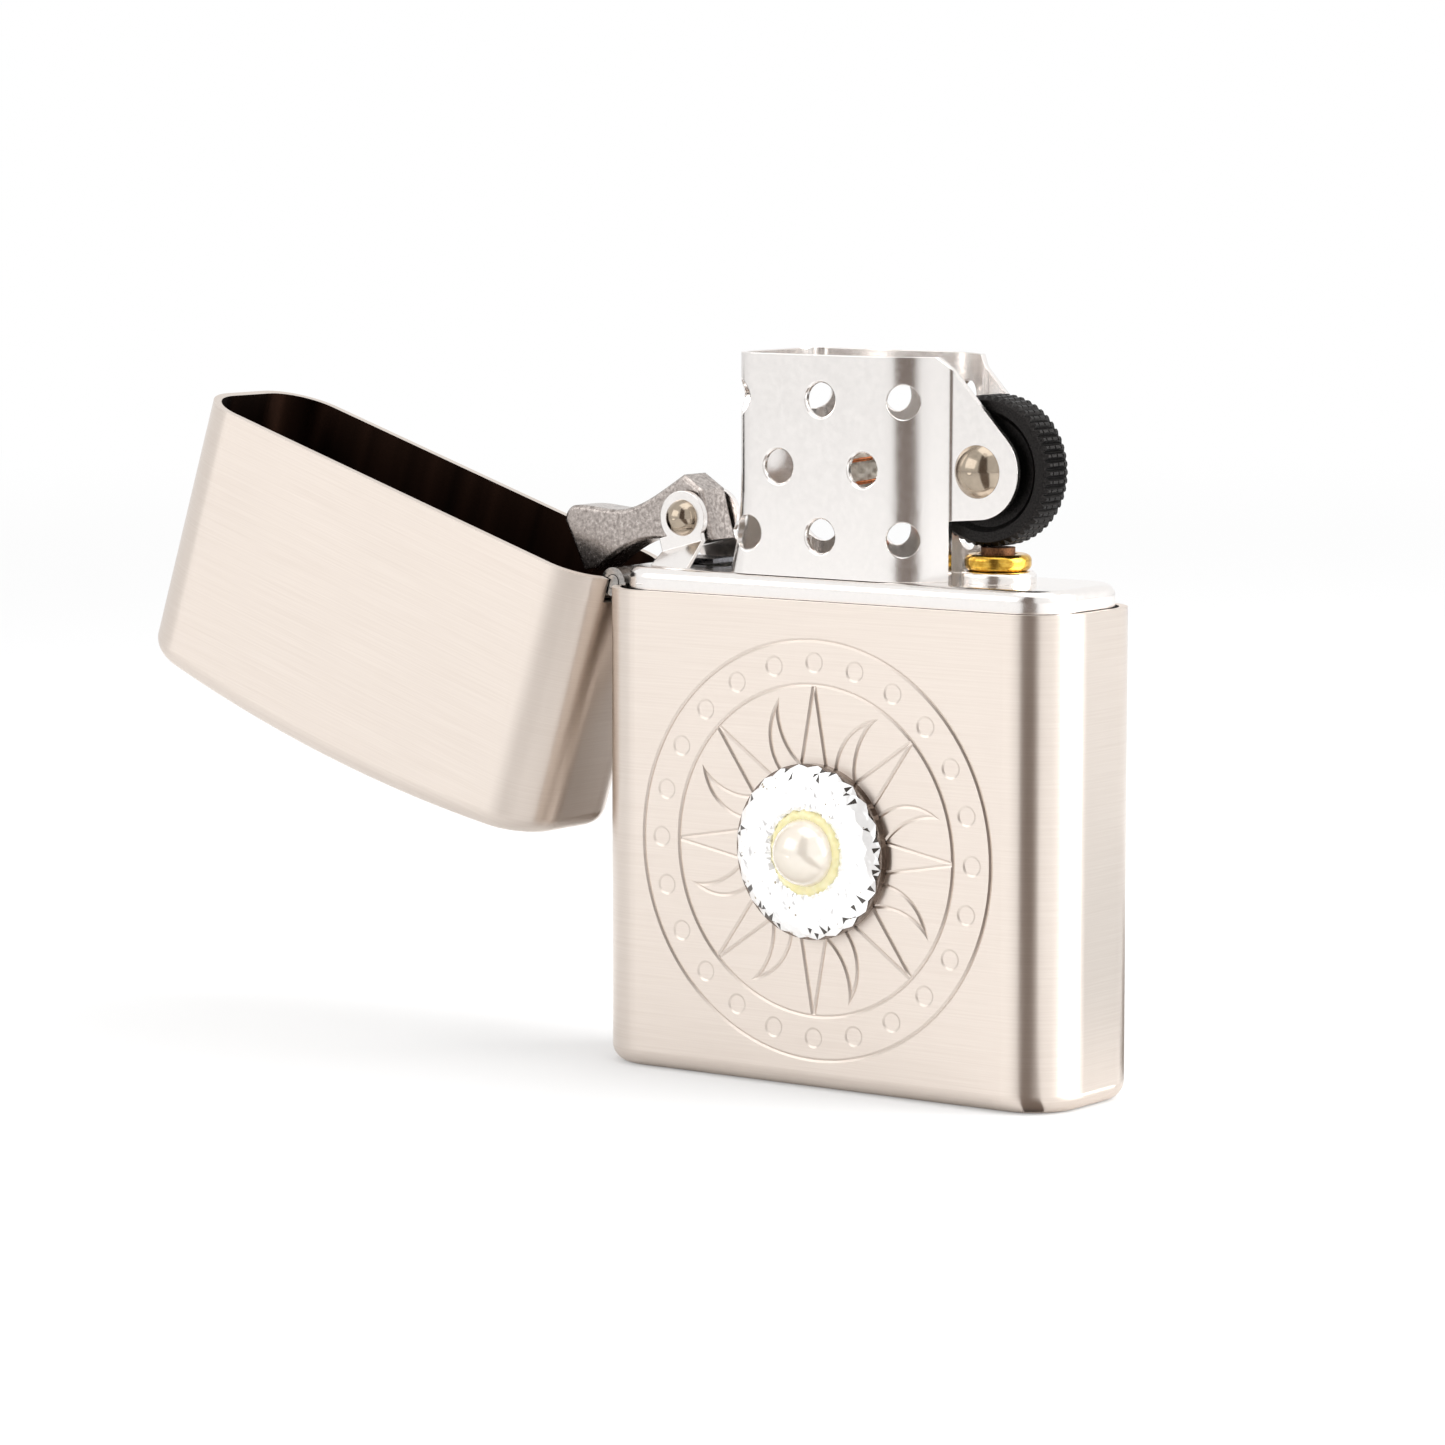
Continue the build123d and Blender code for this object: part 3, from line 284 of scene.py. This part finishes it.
# %% Insert, windscreen, cam and rivets
# Bright stainless sheet: cool, nearly mirror-like, a little hazy from handling.
dress(plain_metal("bright_stainless", "#F1EDEA", "#F4F0ED", roughness=0.2,
                  grain_size=0.4 * MM, ripple_depth=0.006 * MM, edge_radius=0.09 * MM),
      "insert_can", "windscreen", "flint_collar")

# Tumbled hardened steel: grey-brown, with soft corners and a speckle from the stones.
dress(plain_metal("tumbled_steel", "#8C837E", "#CDC4BE", roughness=0.24, grain_size=0.3 * MM,
                  grain_depth=0.0008 * MM, ripple_depth=0.05 * MM, edge_radius=0.25 * MM),
      "cam")

# Turned nickel-silver rivets: warm and smooth, so that their domes mirror the room.
dress(plain_metal("nickel_silver", "#A39686", "#ADA08F", roughness=0.15, grain_size=0.5 * MM,
                  grain_depth=0.0002 * MM),
      "wheel_rivet", "cam_rivet", "cam_spring_rivet")

# Rolled and plated hinge steel.
dress(plain_metal("hinge_steel", "#8E8A87", "#B5B1AD", roughness=0.2, grain_size=0.2 * MM,
                  grain_depth=0.002 * MM),
      "case_hinge_leaf", "lid_hinge_leaf", "hinge_pin")

# %% Wheel, flint and what feeds it
# Blackened striker wheel: a dull black oxide with a trace of bare steel on it.
dress(plain_metal("black_oxide_steel", "#1B1A1A", "#343231", roughness=0.42,
                  grain_size=0.12 * MM, grain_depth=0.008 * MM),
      "flint_wheel")

# Yellow brass of the flint tube, its plunger and its screw: golden and glossy.
dress(plain_metal("yellow_brass", "#B98A2E", "#DDB450", roughness=0.2, grain_size=0.3 * MM,
                  grain_depth=0.001 * MM),
      "flint_tube", "flint_plunger", "flint_screw")

# Blue-grey spring steel, drawn for the coil and rolled for the leaf.
dress(plain_metal("spring_steel", "#77787C", "#93949A", roughness=0.25, grain_size=0.3 * MM,
                  grain_depth=0.001 * MM),
      "flint_spring", "cam_spring")

# Mischmetal flint: coppery brown, dull and crumbly.
dress(plain_metal("mischmetal", "#4A3426", "#8A6247", roughness=0.55, grain_size=0.15 * MM,
                  grain_depth=0.02 * MM),
      "flint")

# %% Wick wire and medallion cup
# Drawn copper wire round the wick: warm red and smooth.
dress(plain_metal("drawn_copper", "#9C5B3B", "#C57F58", roughness=0.25, grain_size=0.2 * MM,
                  grain_depth=0.001 * MM),
      "wick_wire")

# Turned cup of the medallion: nickel in a dark brown tone.
dress(plain_metal("dark_brown_nickel", "#6E6259", "#8D8077", roughness=0.12,
                  grain_size=0.3 * MM, grain_depth=0.0005 * MM),
      "medallion_cup")

# %% [markdown]
# ## The cut stone
#
# The medallion's disc is pressed glass on crumpled silver foil. Its rim is cut into a
# zigzag of small triangles that alternate between two tilts, and its table sparkles
# because the foil behind it is creased at random. A bump map could fake the sparkle but
# not the broken outline, so the creases are real facets: rings of points that are shifted
# a little by a seeded random draw and left flat-shaded. Only the finest creases are a bump.

# %% Medallion frame
stone_low, stone_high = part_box("medallion_stone")
cup_low, cup_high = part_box("medallion_cup")
glue_low, glue_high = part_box("medallion_glue")
FACE_Y = cup_high.y
MEDALLION_X = (stone_low.x + stone_high.x) / 2
MEDALLION_Z = (stone_low.z + stone_high.z) / 2
print("medallion at", round(MEDALLION_X / MM, 2), round(MEDALLION_Z / MM, 2), "mm")


def on_face(radius, angle, height):
    """Point of the medallion from its polar place and its height off the case."""
    return Vector((MEDALLION_X + radius * math.sin(angle), FACE_Y - height,
                   MEDALLION_Z + radius * math.cos(angle)))


def mesh_piece(name, points, faces, material, smooth):
    """Object of a new mesh with one finish, riding on the case."""
    mesh = bpy.data.meshes.new(name)
    mesh.from_pydata(points, [], faces)
    mesh.validate()
    mesh.materials.append(material)
    mesh.polygons.foreach_set("use_smooth", [smooth] * len(mesh.polygons))
    piece = bpy.data.objects.new(name, mesh)
    bpy.context.scene.collection.objects.link(piece)
    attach(piece, "case")
    print(name, len(mesh.vertices), "points", len(mesh.polygons), "faces")
    return piece


def ring_faces(count, rows):
    """Two triangles between each pair of neighbouring points of neighbouring rings."""
    faces = []
    for row in range(rows - 1):
        for index in range(count):
            a = row * count + index
            b = row * count + (index + 1) % count
            c, d = a + count, b + count
            faces += [(a, b, d), (a, d, c)] if (row + index) % 2 else [(a, b, c), (b, d, c)]
    return faces


# %% Stone sizes
FACET_COUNT = 24
FACET_COLUMNS = 4
STONE_COLUMNS = FACET_COLUMNS * FACET_COUNT
STONE_SEED = 7
STONE_RADIUS = (stone_high.x - stone_low.x) / 2
STONE_TOP = FACE_Y - stone_low.y
STONE_SEAT = FACE_Y - cup_low.y
PIT_RADIUS = (glue_high.x - glue_low.x) / 2
PIT_SINK = 0.22 * MM
PIT_CREASE = 0.10 * MM
TABLE_EDGE = STONE_RADIUS - 0.85 * MM
TABLE_ROWS = 7
TABLE_SINK = 0.09 * MM
TABLE_CREASE = 0.11 * MM
ZIGZAG_WIDTH = 0.22 * MM
ZIGZAG_DROP = 0.10 * MM

# A crease sways by this share of a column, and its height is this share of its width. It
# sinks a little further than it rises.
CREASE_SWAY = 0.35
CREASE_HEIGHT = 0.7
CREASE_RANGE = (-1, 0.8)

# Rings of the rim: radius, height off the case, and the share of a facet by which its
# zigzag is shifted.
RIM = ((TABLE_EDGE, STONE_TOP - 0.02 * MM, 0.0),
       (STONE_RADIUS - 0.34 * MM, STONE_TOP - 0.30 * MM, 0.5),
       (STONE_RADIUS - 0.02 * MM, STONE_SEAT + 0.14 * MM, 0.0),
       (STONE_RADIUS - 0.12 * MM, STONE_SEAT, 0.0))
print("stone across in mm:", round(2 * STONE_RADIUS / MM, 2))


# %% Stone mesh
def creased_rings():
    """Rings of the pit's wall and of the table: radius, height and width of the creases."""
    rings = [(PIT_RADIUS - 0.1 * MM, STONE_SEAT - 0.2 * MM, 0.0),
             (PIT_RADIUS, STONE_TOP - PIT_SINK, PIT_CREASE)]
    for row in range(TABLE_ROWS):
        share = (row + 1) / (TABLE_ROWS + 1)
        radius = PIT_RADIUS + (TABLE_EDGE - PIT_RADIUS) * share
        rings.append((radius, STONE_TOP - TABLE_SINK, TABLE_CREASE))
    return rings


def stone_mesh():
    """Points and faces of the stone: pit wall, creased table and zigzag rim."""
    draw = random.Random(STONE_SEED)
    rings = creased_rings()
    points = []
    for radius, height, crease in rings:
        for column in range(STONE_COLUMNS):
            sway = draw.uniform(-CREASE_SWAY, CREASE_SWAY) * (crease > 0)
            points.append(on_face(radius + draw.uniform(-1, 1) * crease,
                                  math.tau * (column + sway) / STONE_COLUMNS,
                                  height + draw.uniform(*CREASE_RANGE) * CREASE_HEIGHT * crease))
    for radius, height, shift in RIM:
        for column in range(STONE_COLUMNS):
            zigzag = abs(((column / FACET_COLUMNS + shift) % 1.0) - 0.5) * 2
            points.append(on_face(radius - ZIGZAG_WIDTH * zigzag,
                                  math.tau * column / STONE_COLUMNS,
                                  height - ZIGZAG_DROP * (1 - zigzag)))
    return points, ring_faces(STONE_COLUMNS, len(rings) + len(RIM))


# %% Stone, glue and pearl finishes
# A few facets of the rim, drawn at random, are painted dark grey as shade.
SHADE_FACET = "painted_shade_facet"
SHADE_SHARE = 0.11
SHADE_SEED = 3


def mark_shade_facets(stone):
    """Choose a few facets of the rim at random, which get painted shade."""
    draw = random.Random(SHADE_SEED)
    shade_facets = stone.data.attributes.new(SHADE_FACET, "FLOAT", "FACE")
    rim_start = len(stone.data.polygons) - (len(RIM) - 1) * 2 * STONE_COLUMNS
    for index in range(rim_start, len(stone.data.polygons)):
        shade_facets.data[index].value = 1.0 if draw.random() < SHADE_SHARE else 0.0


def foil_glass():
    """Silver foil under glass: white mirror facets with a few dark and yellow specks, and painted
    shade on a few rim facets.
    """
    material, tree, shader = new_finish("foil_backed_glass", Metallic=0.45, Roughness=0.22,
                                        Coat_Weight=0.6)
    place = add(tree, "TexCoord").outputs["Object"]
    specks = add(tree, "TexVoronoi", {"Vector": place, "Scale": 1 / (0.55 * MM)})
    speck_size = add(tree, "TexNoise", {"Vector": place, "Scale": 1 / (1.6 * MM)})
    limit = add(tree, "MapRange", {"Value": speck_size.outputs[0], "From Min": 0.45,
                                   "From Max": 0.75, "To Min": 0.0, "To Max": 0.3})
    dark = add(tree, "Math", {0: specks.outputs["Distance"], 1: limit.outputs[0]},
               operation="LESS_THAN")
    flecked = add(tree, "Mix", {MIX_FACTOR: dark.outputs[0], MIX_A: linear("#FFFFFF"),
                                MIX_B: linear("#A89C86")}, data_type="RGBA")
    # Painted shade: the chosen rim facets turn dark grey.
    shade_facets = add(tree, "Attribute", attribute_name=SHADE_FACET)
    tone = add(tree, "Mix", {MIX_FACTOR: shade_facets.outputs["Fac"],
                             MIX_A: flecked.outputs[MIX_RESULT], MIX_B: linear("#4A4541")},
               data_type="RGBA")
    crease = add(tree, "TexVoronoi", {"Vector": place, "Scale": 1 / (0.3 * MM)}, feature="F1")
    bump = add(tree, "Bump", {"Height": crease.outputs["Distance"], "Strength": 0.5,
                              "Distance": 0.03 * MM})
    tree.links.new(tone.outputs[MIX_RESULT], shader.inputs["Base Color"])
    tree.links.new(bump.outputs[0], shader.inputs["Normal"])
    return material


def set_glue():
    """Hardened contact glue: yellowish, glossy and clear enough to glow a little."""
    material, tree, shader = new_finish("set_contact_glue", Roughness=0.22, IOR=1.5,
                                        Subsurface_Weight=0.25, Coat_Weight=0.5)
    shader.inputs["Subsurface Radius"].default_value = (1 * MM, 0.8 * MM, 0.4 * MM)
    place = add(tree, "TexCoord").outputs["Object"]
    cloud = add(tree, "TexNoise", {"Vector": place, "Scale": 1 / (0.7 * MM), "Detail": 4.0})
    tone = add(tree, "Mix", {MIX_FACTOR: cloud.outputs[0], MIX_A: linear("#E2D58A"),
                             MIX_B: linear("#F6F1CF")}, data_type="RGBA")
    bump = add(tree, "Bump", {"Height": cloud.outputs[0], "Strength": 0.6, "Distance": 0.1 * MM})
    tree.links.new(tone.outputs[MIX_RESULT], shader.inputs["Base Color"])
    tree.links.new(bump.outputs[0], shader.inputs["Normal"])
    return material


def cultured_pearl():
    """Nacre: cream under a clear lustre, browner where it turns away: painted shade.

    Its thin layers mirror more than glass does, which is why it is partly metallic.
    """
    material, tree, shader = new_finish("cultured_pearl", Metallic=0.3, Roughness=0.24,
                                        Coat_Weight=1.0, Coat_IOR=1.9, Coat_Roughness=0.1,
                                        Subsurface_Weight=0.1)
    shader.inputs["Subsurface Radius"].default_value = (0.6 * MM, 0.5 * MM, 0.4 * MM)
    place = add(tree, "TexCoord").outputs["Object"]
    cloud = add(tree, "TexNoise", {"Vector": place, "Scale": 1 / (1.4 * MM), "Detail": 3.0})
    # Painted shade: the cream turns browner where the surface faces away from the camera.
    turn = add(tree, "LayerWeight", {"Blend": 0.35}).outputs["Facing"]
    body = add(tree, "Mix", {MIX_FACTOR: cloud.outputs[0], MIX_A: linear("#E0D7CA"),
                             MIX_B: linear("#EBE3D7")}, data_type="RGBA")
    tone = add(tree, "Mix", {MIX_FACTOR: turn, MIX_A: body.outputs[MIX_RESULT],
                             MIX_B: linear("#E0D2BB")}, data_type="RGBA")
    tree.links.new(tone.outputs[MIX_RESULT], shader.inputs["Base Color"])
    return material


stone_points, stone_faces = stone_mesh()
stone = mesh_piece("cut_stone", stone_points, stone_faces, foil_glass(), smooth=False)
mark_shade_facets(stone)
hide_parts("medallion_stone")
dress(cultured_pearl(), "medallion_pearl")

# %% [markdown]
# ## Glue round the pearl
#
# The glue was squeezed out under the pearl and set in a ragged ring. It is a revolved
# bead whose outer edge wanders with a smooth noise, so that it never looks machined.


# %% Glue bead
GLUE_COLUMNS = 120
# Lumps of the noise round the bead and up its side, and the share of a lump that is height.
GLUE_LUMPS = 6
GLUE_CLIMB = 9
GLUE_RISE = 0.3

# Rings of the bead: radius, share of its height, and how far the ring wanders.
GLUE_PROFILE = ((PIT_RADIUS - 0.02 * MM, 0.0, 0.0),
                (PIT_RADIUS + 0.10 * MM, 0.62, 0.30 * MM),
                (PIT_RADIUS - 0.25 * MM, 0.86, 0.18 * MM),
                (PIT_RADIUS - 0.65 * MM, 0.9, 0.1 * MM),
                (PIT_RADIUS - 1.1 * MM, 0.8, 0.0))


def glue_mesh():
    """Points and faces of a ragged bead between the pearl and the stone."""
    base = FACE_Y - glue_high.y
    height = STONE_TOP - base
    points = []
    for radius, share, ragged in GLUE_PROFILE:
        for column in range(GLUE_COLUMNS):
            angle = math.tau * column / GLUE_COLUMNS
            place = Vector((GLUE_LUMPS * math.sin(angle), GLUE_LUMPS * math.cos(angle),
                            GLUE_CLIMB * share))
            wander = noise.noise(place) * ragged
            points.append(on_face(radius + wander, angle,
                                  base + height * share + wander * GLUE_RISE))
    return points, ring_faces(GLUE_COLUMNS, len(GLUE_PROFILE))


glue_points, glue_faces = glue_mesh()
glue = mesh_piece("glue_bead", glue_points, glue_faces, set_glue(), smooth=True)
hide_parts("medallion_glue")

# %% [markdown]
# ## Wick, cotton and felt
#
# The wick is a braided cotton cord. Only its upper end shows, through the vents and from
# above. Each soft solid is copied, remeshed to an even skin and sunk along its normals by
# a depth that varies: between the crossing ridges of a braid on the wick, and by a noise
# on the cotton and the felt, as wadding and pressed felt are uneven. The copies only ever
# sink, so they stay clear of the metal round them.


# %% Soft finishes
def cotton(name, dark, light, fibre_size, depth):
    """Matt fibres: uneven off-white with a fuzzy sheen."""
    material, tree, shader = new_finish(name, Roughness=0.9, Sheen_Weight=0.4,
                                        Sheen_Roughness=0.5)
    place = add(tree, "TexCoord").outputs["Object"]
    fibre = add(tree, "TexNoise", {"Vector": place, "Scale": 1 / fibre_size, "Detail": 6.0,
                                   "Distortion": 1.5})
    tone = add(tree, "Mix", {MIX_FACTOR: fibre.outputs[0], MIX_A: linear(dark),
                             MIX_B: linear(light)}, data_type="RGBA")
    bump = add(tree, "Bump", {"Height": fibre.outputs[0], "Strength": 0.8, "Distance": depth})
    tree.links.new(tone.outputs[MIX_RESULT], shader.inputs["Base Color"])
    tree.links.new(bump.outputs[0], shader.inputs["Normal"])
    return material


def soft_copy(node, name, voxel, depth_at, material):
    """Evenly remeshed copy of a soft solid, sunk along its normals by depth_at(point)."""
    mesh = frame["nodes"][node].data.copy()
    mesh.name = name
    piece = bpy.data.objects.new(name, mesh)
    bpy.context.scene.collection.objects.link(piece)
    modifier = piece.modifiers.new("even_skin", "REMESH")
    modifier.mode = "VOXEL"
    modifier.voxel_size = voxel
    bpy.context.view_layer.update()
    evaluated = piece.evaluated_get(bpy.context.evaluated_depsgraph_get())
    piece.data = bpy.data.meshes.new_from_object(evaluated)
    piece.modifiers.clear()
    normals = [vertex.normal.copy() for vertex in piece.data.vertices]
    for vertex, normal in zip(piece.data.vertices, normals):
        vertex.co -= normal * depth_at(vertex.co)
    piece.data.materials.clear()
    piece.data.materials.append(material)
    piece.data.polygons.foreach_set("use_smooth", [True] * len(piece.data.polygons))
    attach(piece, "case")
    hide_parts(node)
    print(name, len(piece.data.vertices), "points")
    return piece


# %% Wick, cotton and felt
BRAID_STRANDS = 8
BRAID_PITCH = 3.2 * MM
BRAID_DEPTH = 0.32 * MM
WADDING_LUMP = 2.5 * MM
WADDING_DEPTH = 0.25 * MM
FELT_LUMP = 0.8 * MM
FELT_DEPTH = 0.06 * MM


def braid_depth(point):
    """Depth of the grooves between a round braid's strands, half of which wind each way."""
    angle = math.atan2(point.y, point.x) * BRAID_STRANDS / 2
    climb = math.tau * point.z / BRAID_PITCH * BRAID_STRANDS / 4
    ridge = max(abs(math.sin(angle + climb)), abs(math.sin(angle - climb)))
    return BRAID_DEPTH * (1 - ridge)


def wadding_depth(point):
    """Uneven surface of cotton wool."""
    return WADDING_DEPTH * (1 + noise.noise(point * (1 / WADDING_LUMP)))


def felt_depth(point):
    """Slightly uneven surface of pressed felt."""
    return FELT_DEPTH * (1 + noise.noise(point * (1 / FELT_LUMP)))


wick = soft_copy("wick", "wick_braid", 0.16 * MM, braid_depth,
                 cotton("braided_cotton", "#CFC6B6", "#F3EFE6", 0.25 * MM, 0.03 * MM))
wadding = soft_copy("cotton_packing", "cotton_wadding", 0.5 * MM, wadding_depth,
                    cotton("cotton_wool", "#E2DED4", "#FAF8F2", 0.6 * MM, 0.15 * MM))
felt = soft_copy("felt_pad", "felt_plug", 0.35 * MM, felt_depth,
                 cotton("pressed_felt", "#A9A397", "#CCC7BC", 0.3 * MM, 0.06 * MM))

# %% [markdown]
# ## Studio
#
# Soft boxes stand to the left and to the right of the camera and overhead, and a pale room
# fills in the rest. What makes metal look like metal is the dark gap between them: the
# unlit side of the room behind the camera. It is painted shade: a dark card that only
# reflections can see, with a dark wedge on the floor below it that points at the case's
# front corner. A brown and a grey sheet on the floor behind the lighter are painted shadow
# that does the same for the walls that look backwards.
# The floor is white paper. The lamps shade it, so it keeps the lighter's shadow, and where
# the camera looks at it, it is lifted towards white, more so further from the lighter.

# %% Lamps and room
BOX_DISTANCE = 0.5
SOFT_BOXES = {
    "left_box": {"azimuth": -31, "elevation": 26, "width": 0.38, "height": 0.26, "power": 0.4},
    "right_box": {"azimuth": 110, "elevation": 22, "width": 0.40, "height": 0.50, "power": 3.6},
    "top_box": {"azimuth": 60, "elevation": 80, "width": 0.40, "height": 0.40, "power": 0.7},
}


def soft_box(name, azimuth, elevation, width, height, power):
    """Rectangular area lamp that faces the lighter; angles in degrees, sizes in metres."""
    data = bpy.data.lights.new(name, "AREA")
    data.shape = "RECTANGLE"
    data.size = width
    data.size_y = height
    data.energy = power
    lamp = aimed(bpy.data.objects.new(name, data), math.radians(azimuth),
                 math.radians(elevation), BOX_DISTANCE)
    print(name, "at", [round(value, 2) for value in lamp.location])


for box_name, box in SOFT_BOXES.items():
    soft_box(box_name, **box)

world = bpy.data.worlds.new("pale_room")
bpy.context.scene.world = world
world.use_nodes = True
world.node_tree.nodes["Background"].inputs["Color"].default_value = linear("#FFFFFF")
world.node_tree.nodes["Background"].inputs["Strength"].default_value = 1.0


# %% Floor, dark card and sheets
def stage_sheet(name, corners, material):
    """Flat sheet that isn't part of the lighter, from its corners in order."""
    mesh = bpy.data.meshes.new(name)
    mesh.from_pydata([(x, y, 0.0) for x, y in corners], [], [tuple(range(len(corners)))])
    mesh.materials.append(material)
    sheet = bpy.data.objects.new(name, mesh)
    return sheet


def oblong(width, depth):
    """Corners of a rectangle round the origin."""
    return [(x * width / 2, y * depth / 2) for x, y in ((-1, -1), (1, -1), (1, 1), (-1, 1))]


def wedge(apex, start_azimuth, end_azimuth, reach):
    """Corners of a triangle that opens from its apex between two azimuths."""
    rays = [direction(math.radians(azimuth), 0.0) * reach for azimuth in (start_azimuth, end_azimuth)]
    return [apex] + [(apex[0] + ray.x, apex[1] + ray.y) for ray in rays]


def seen_only_by_reflections(sheet):
    """Hide a sheet from the camera, and let it neither shade nor tint anything."""
    sheet.visible_camera = False
    sheet.visible_diffuse = False
    sheet.visible_shadow = False


# Share by which the paper is lifted near the lighter, and the distances in metres between
# which that share grows to all of it.
LIFT_NEAR = 0.3
LIFT_STARTS = 0.12
LIFT_ENDS = 0.7


def white_paper():
    """Paper that the lamps shade near the lighter and that turns plain white further off."""
    material, tree, shader = new_finish("white_paper", Roughness=0.9)
    shader.inputs["Base Color"].default_value = linear("#E0E0E0")
    path = add(tree, "LightPath")
    seen = add(tree, "Math", {0: path.outputs["Is Camera Ray"],
                              1: path.outputs["Is Transmission Ray"]}, operation="MAXIMUM")
    place = add(tree, "TexCoord").outputs["Object"]
    reach = add(tree, "VectorMath", {0: place}, operation="LENGTH").outputs["Value"]
    lift = add(tree, "MapRange", {"Value": reach, "From Min": LIFT_STARTS,
                                  "From Max": LIFT_ENDS, "To Min": LIFT_NEAR, "To Max": 1.0},
               interpolation_type="SMOOTHSTEP")
    share = add(tree, "Math", {0: seen.outputs[0], 1: lift.outputs[0]}, operation="MULTIPLY")
    glow = add(tree, "Emission", {"Color": linear("#FFFFFF"), "Strength": 1.0})
    mixed = add(tree, "MixShader", {0: share.outputs[0], 1: shader.outputs[0],
                                    2: glow.outputs[0]})
    tree.links.new(mixed.outputs[0], tree.nodes["Material Output"].inputs["Surface"])
    return material


def painted_shade_finish(name, tone):
    """Matt sheet of one plain tone that paints shade, which only reflections show."""
    material, tree, shader = new_finish(name, Roughness=1.0)
    shader.inputs["Base Color"].default_value = linear(tone)
    return material


# %% Place the floor, the card and the sheets
FLOOR_SIDE = 6.0
CARD_AZIMUTH = math.radians(20)
CARD_DISTANCE = 0.62
CARD_WIDTH = 0.36
CARD_HEIGHT = 3.2
CASE_CORNER = (17 * MM, -3 * MM)
WEDGE_AZIMUTHS = (5, 40)
WEDGE_REACH = 0.65
BROWN_SHEET = {"centre": (-6 * MM, 48 * MM), "size": (56 * MM, 72 * MM)}
GREY_SHEET = {"centre": (70 * MM, 60 * MM), "size": (80 * MM, 100 * MM)}
ABOVE_FLOOR = 0.2 * MM

floor = stage_sheet("floor", oblong(FLOOR_SIDE, FLOOR_SIDE), white_paper())
bpy.context.scene.collection.objects.link(floor)

# Painted shade for the unlit room behind the camera and for the floor below it.
painted_shade_dark = painted_shade_finish("painted_shade_dark", "#645952")
card = aimed(stage_sheet("dark_card", oblong(CARD_WIDTH, CARD_HEIGHT), painted_shade_dark),
             CARD_AZIMUTH, 0.0, CARD_DISTANCE)
dark_wedge = stage_sheet("dark_wedge", wedge(CASE_CORNER, *WEDGE_AZIMUTHS, WEDGE_REACH), painted_shade_dark)
# Painted shadow on the floor behind the lighter, brown and grey, seen only in reflections.
brown_sheet = stage_sheet("brown_sheet", oblong(*BROWN_SHEET["size"]),
                          painted_shade_finish("painted_shadow_brown", "#54463A"))
brown_sheet.location = (*BROWN_SHEET["centre"], 0.0)
grey_sheet = stage_sheet("grey_sheet", oblong(*GREY_SHEET["size"]),
                         painted_shade_finish("painted_shadow_grey", "#A9ADAF"))
grey_sheet.location = (*GREY_SHEET["centre"], 0.0)
for sheet in (dark_wedge, brown_sheet, grey_sheet):
    sheet.location.z = ABOVE_FLOOR
    bpy.context.scene.collection.objects.link(sheet)
for sheet in (card, dark_wedge, brown_sheet, grey_sheet):
    seen_only_by_reflections(sheet)
    print(sheet.name, "at", [round(value, 3) for value in sheet.location])

bpy.context.scene.view_settings.view_transform = "Standard"
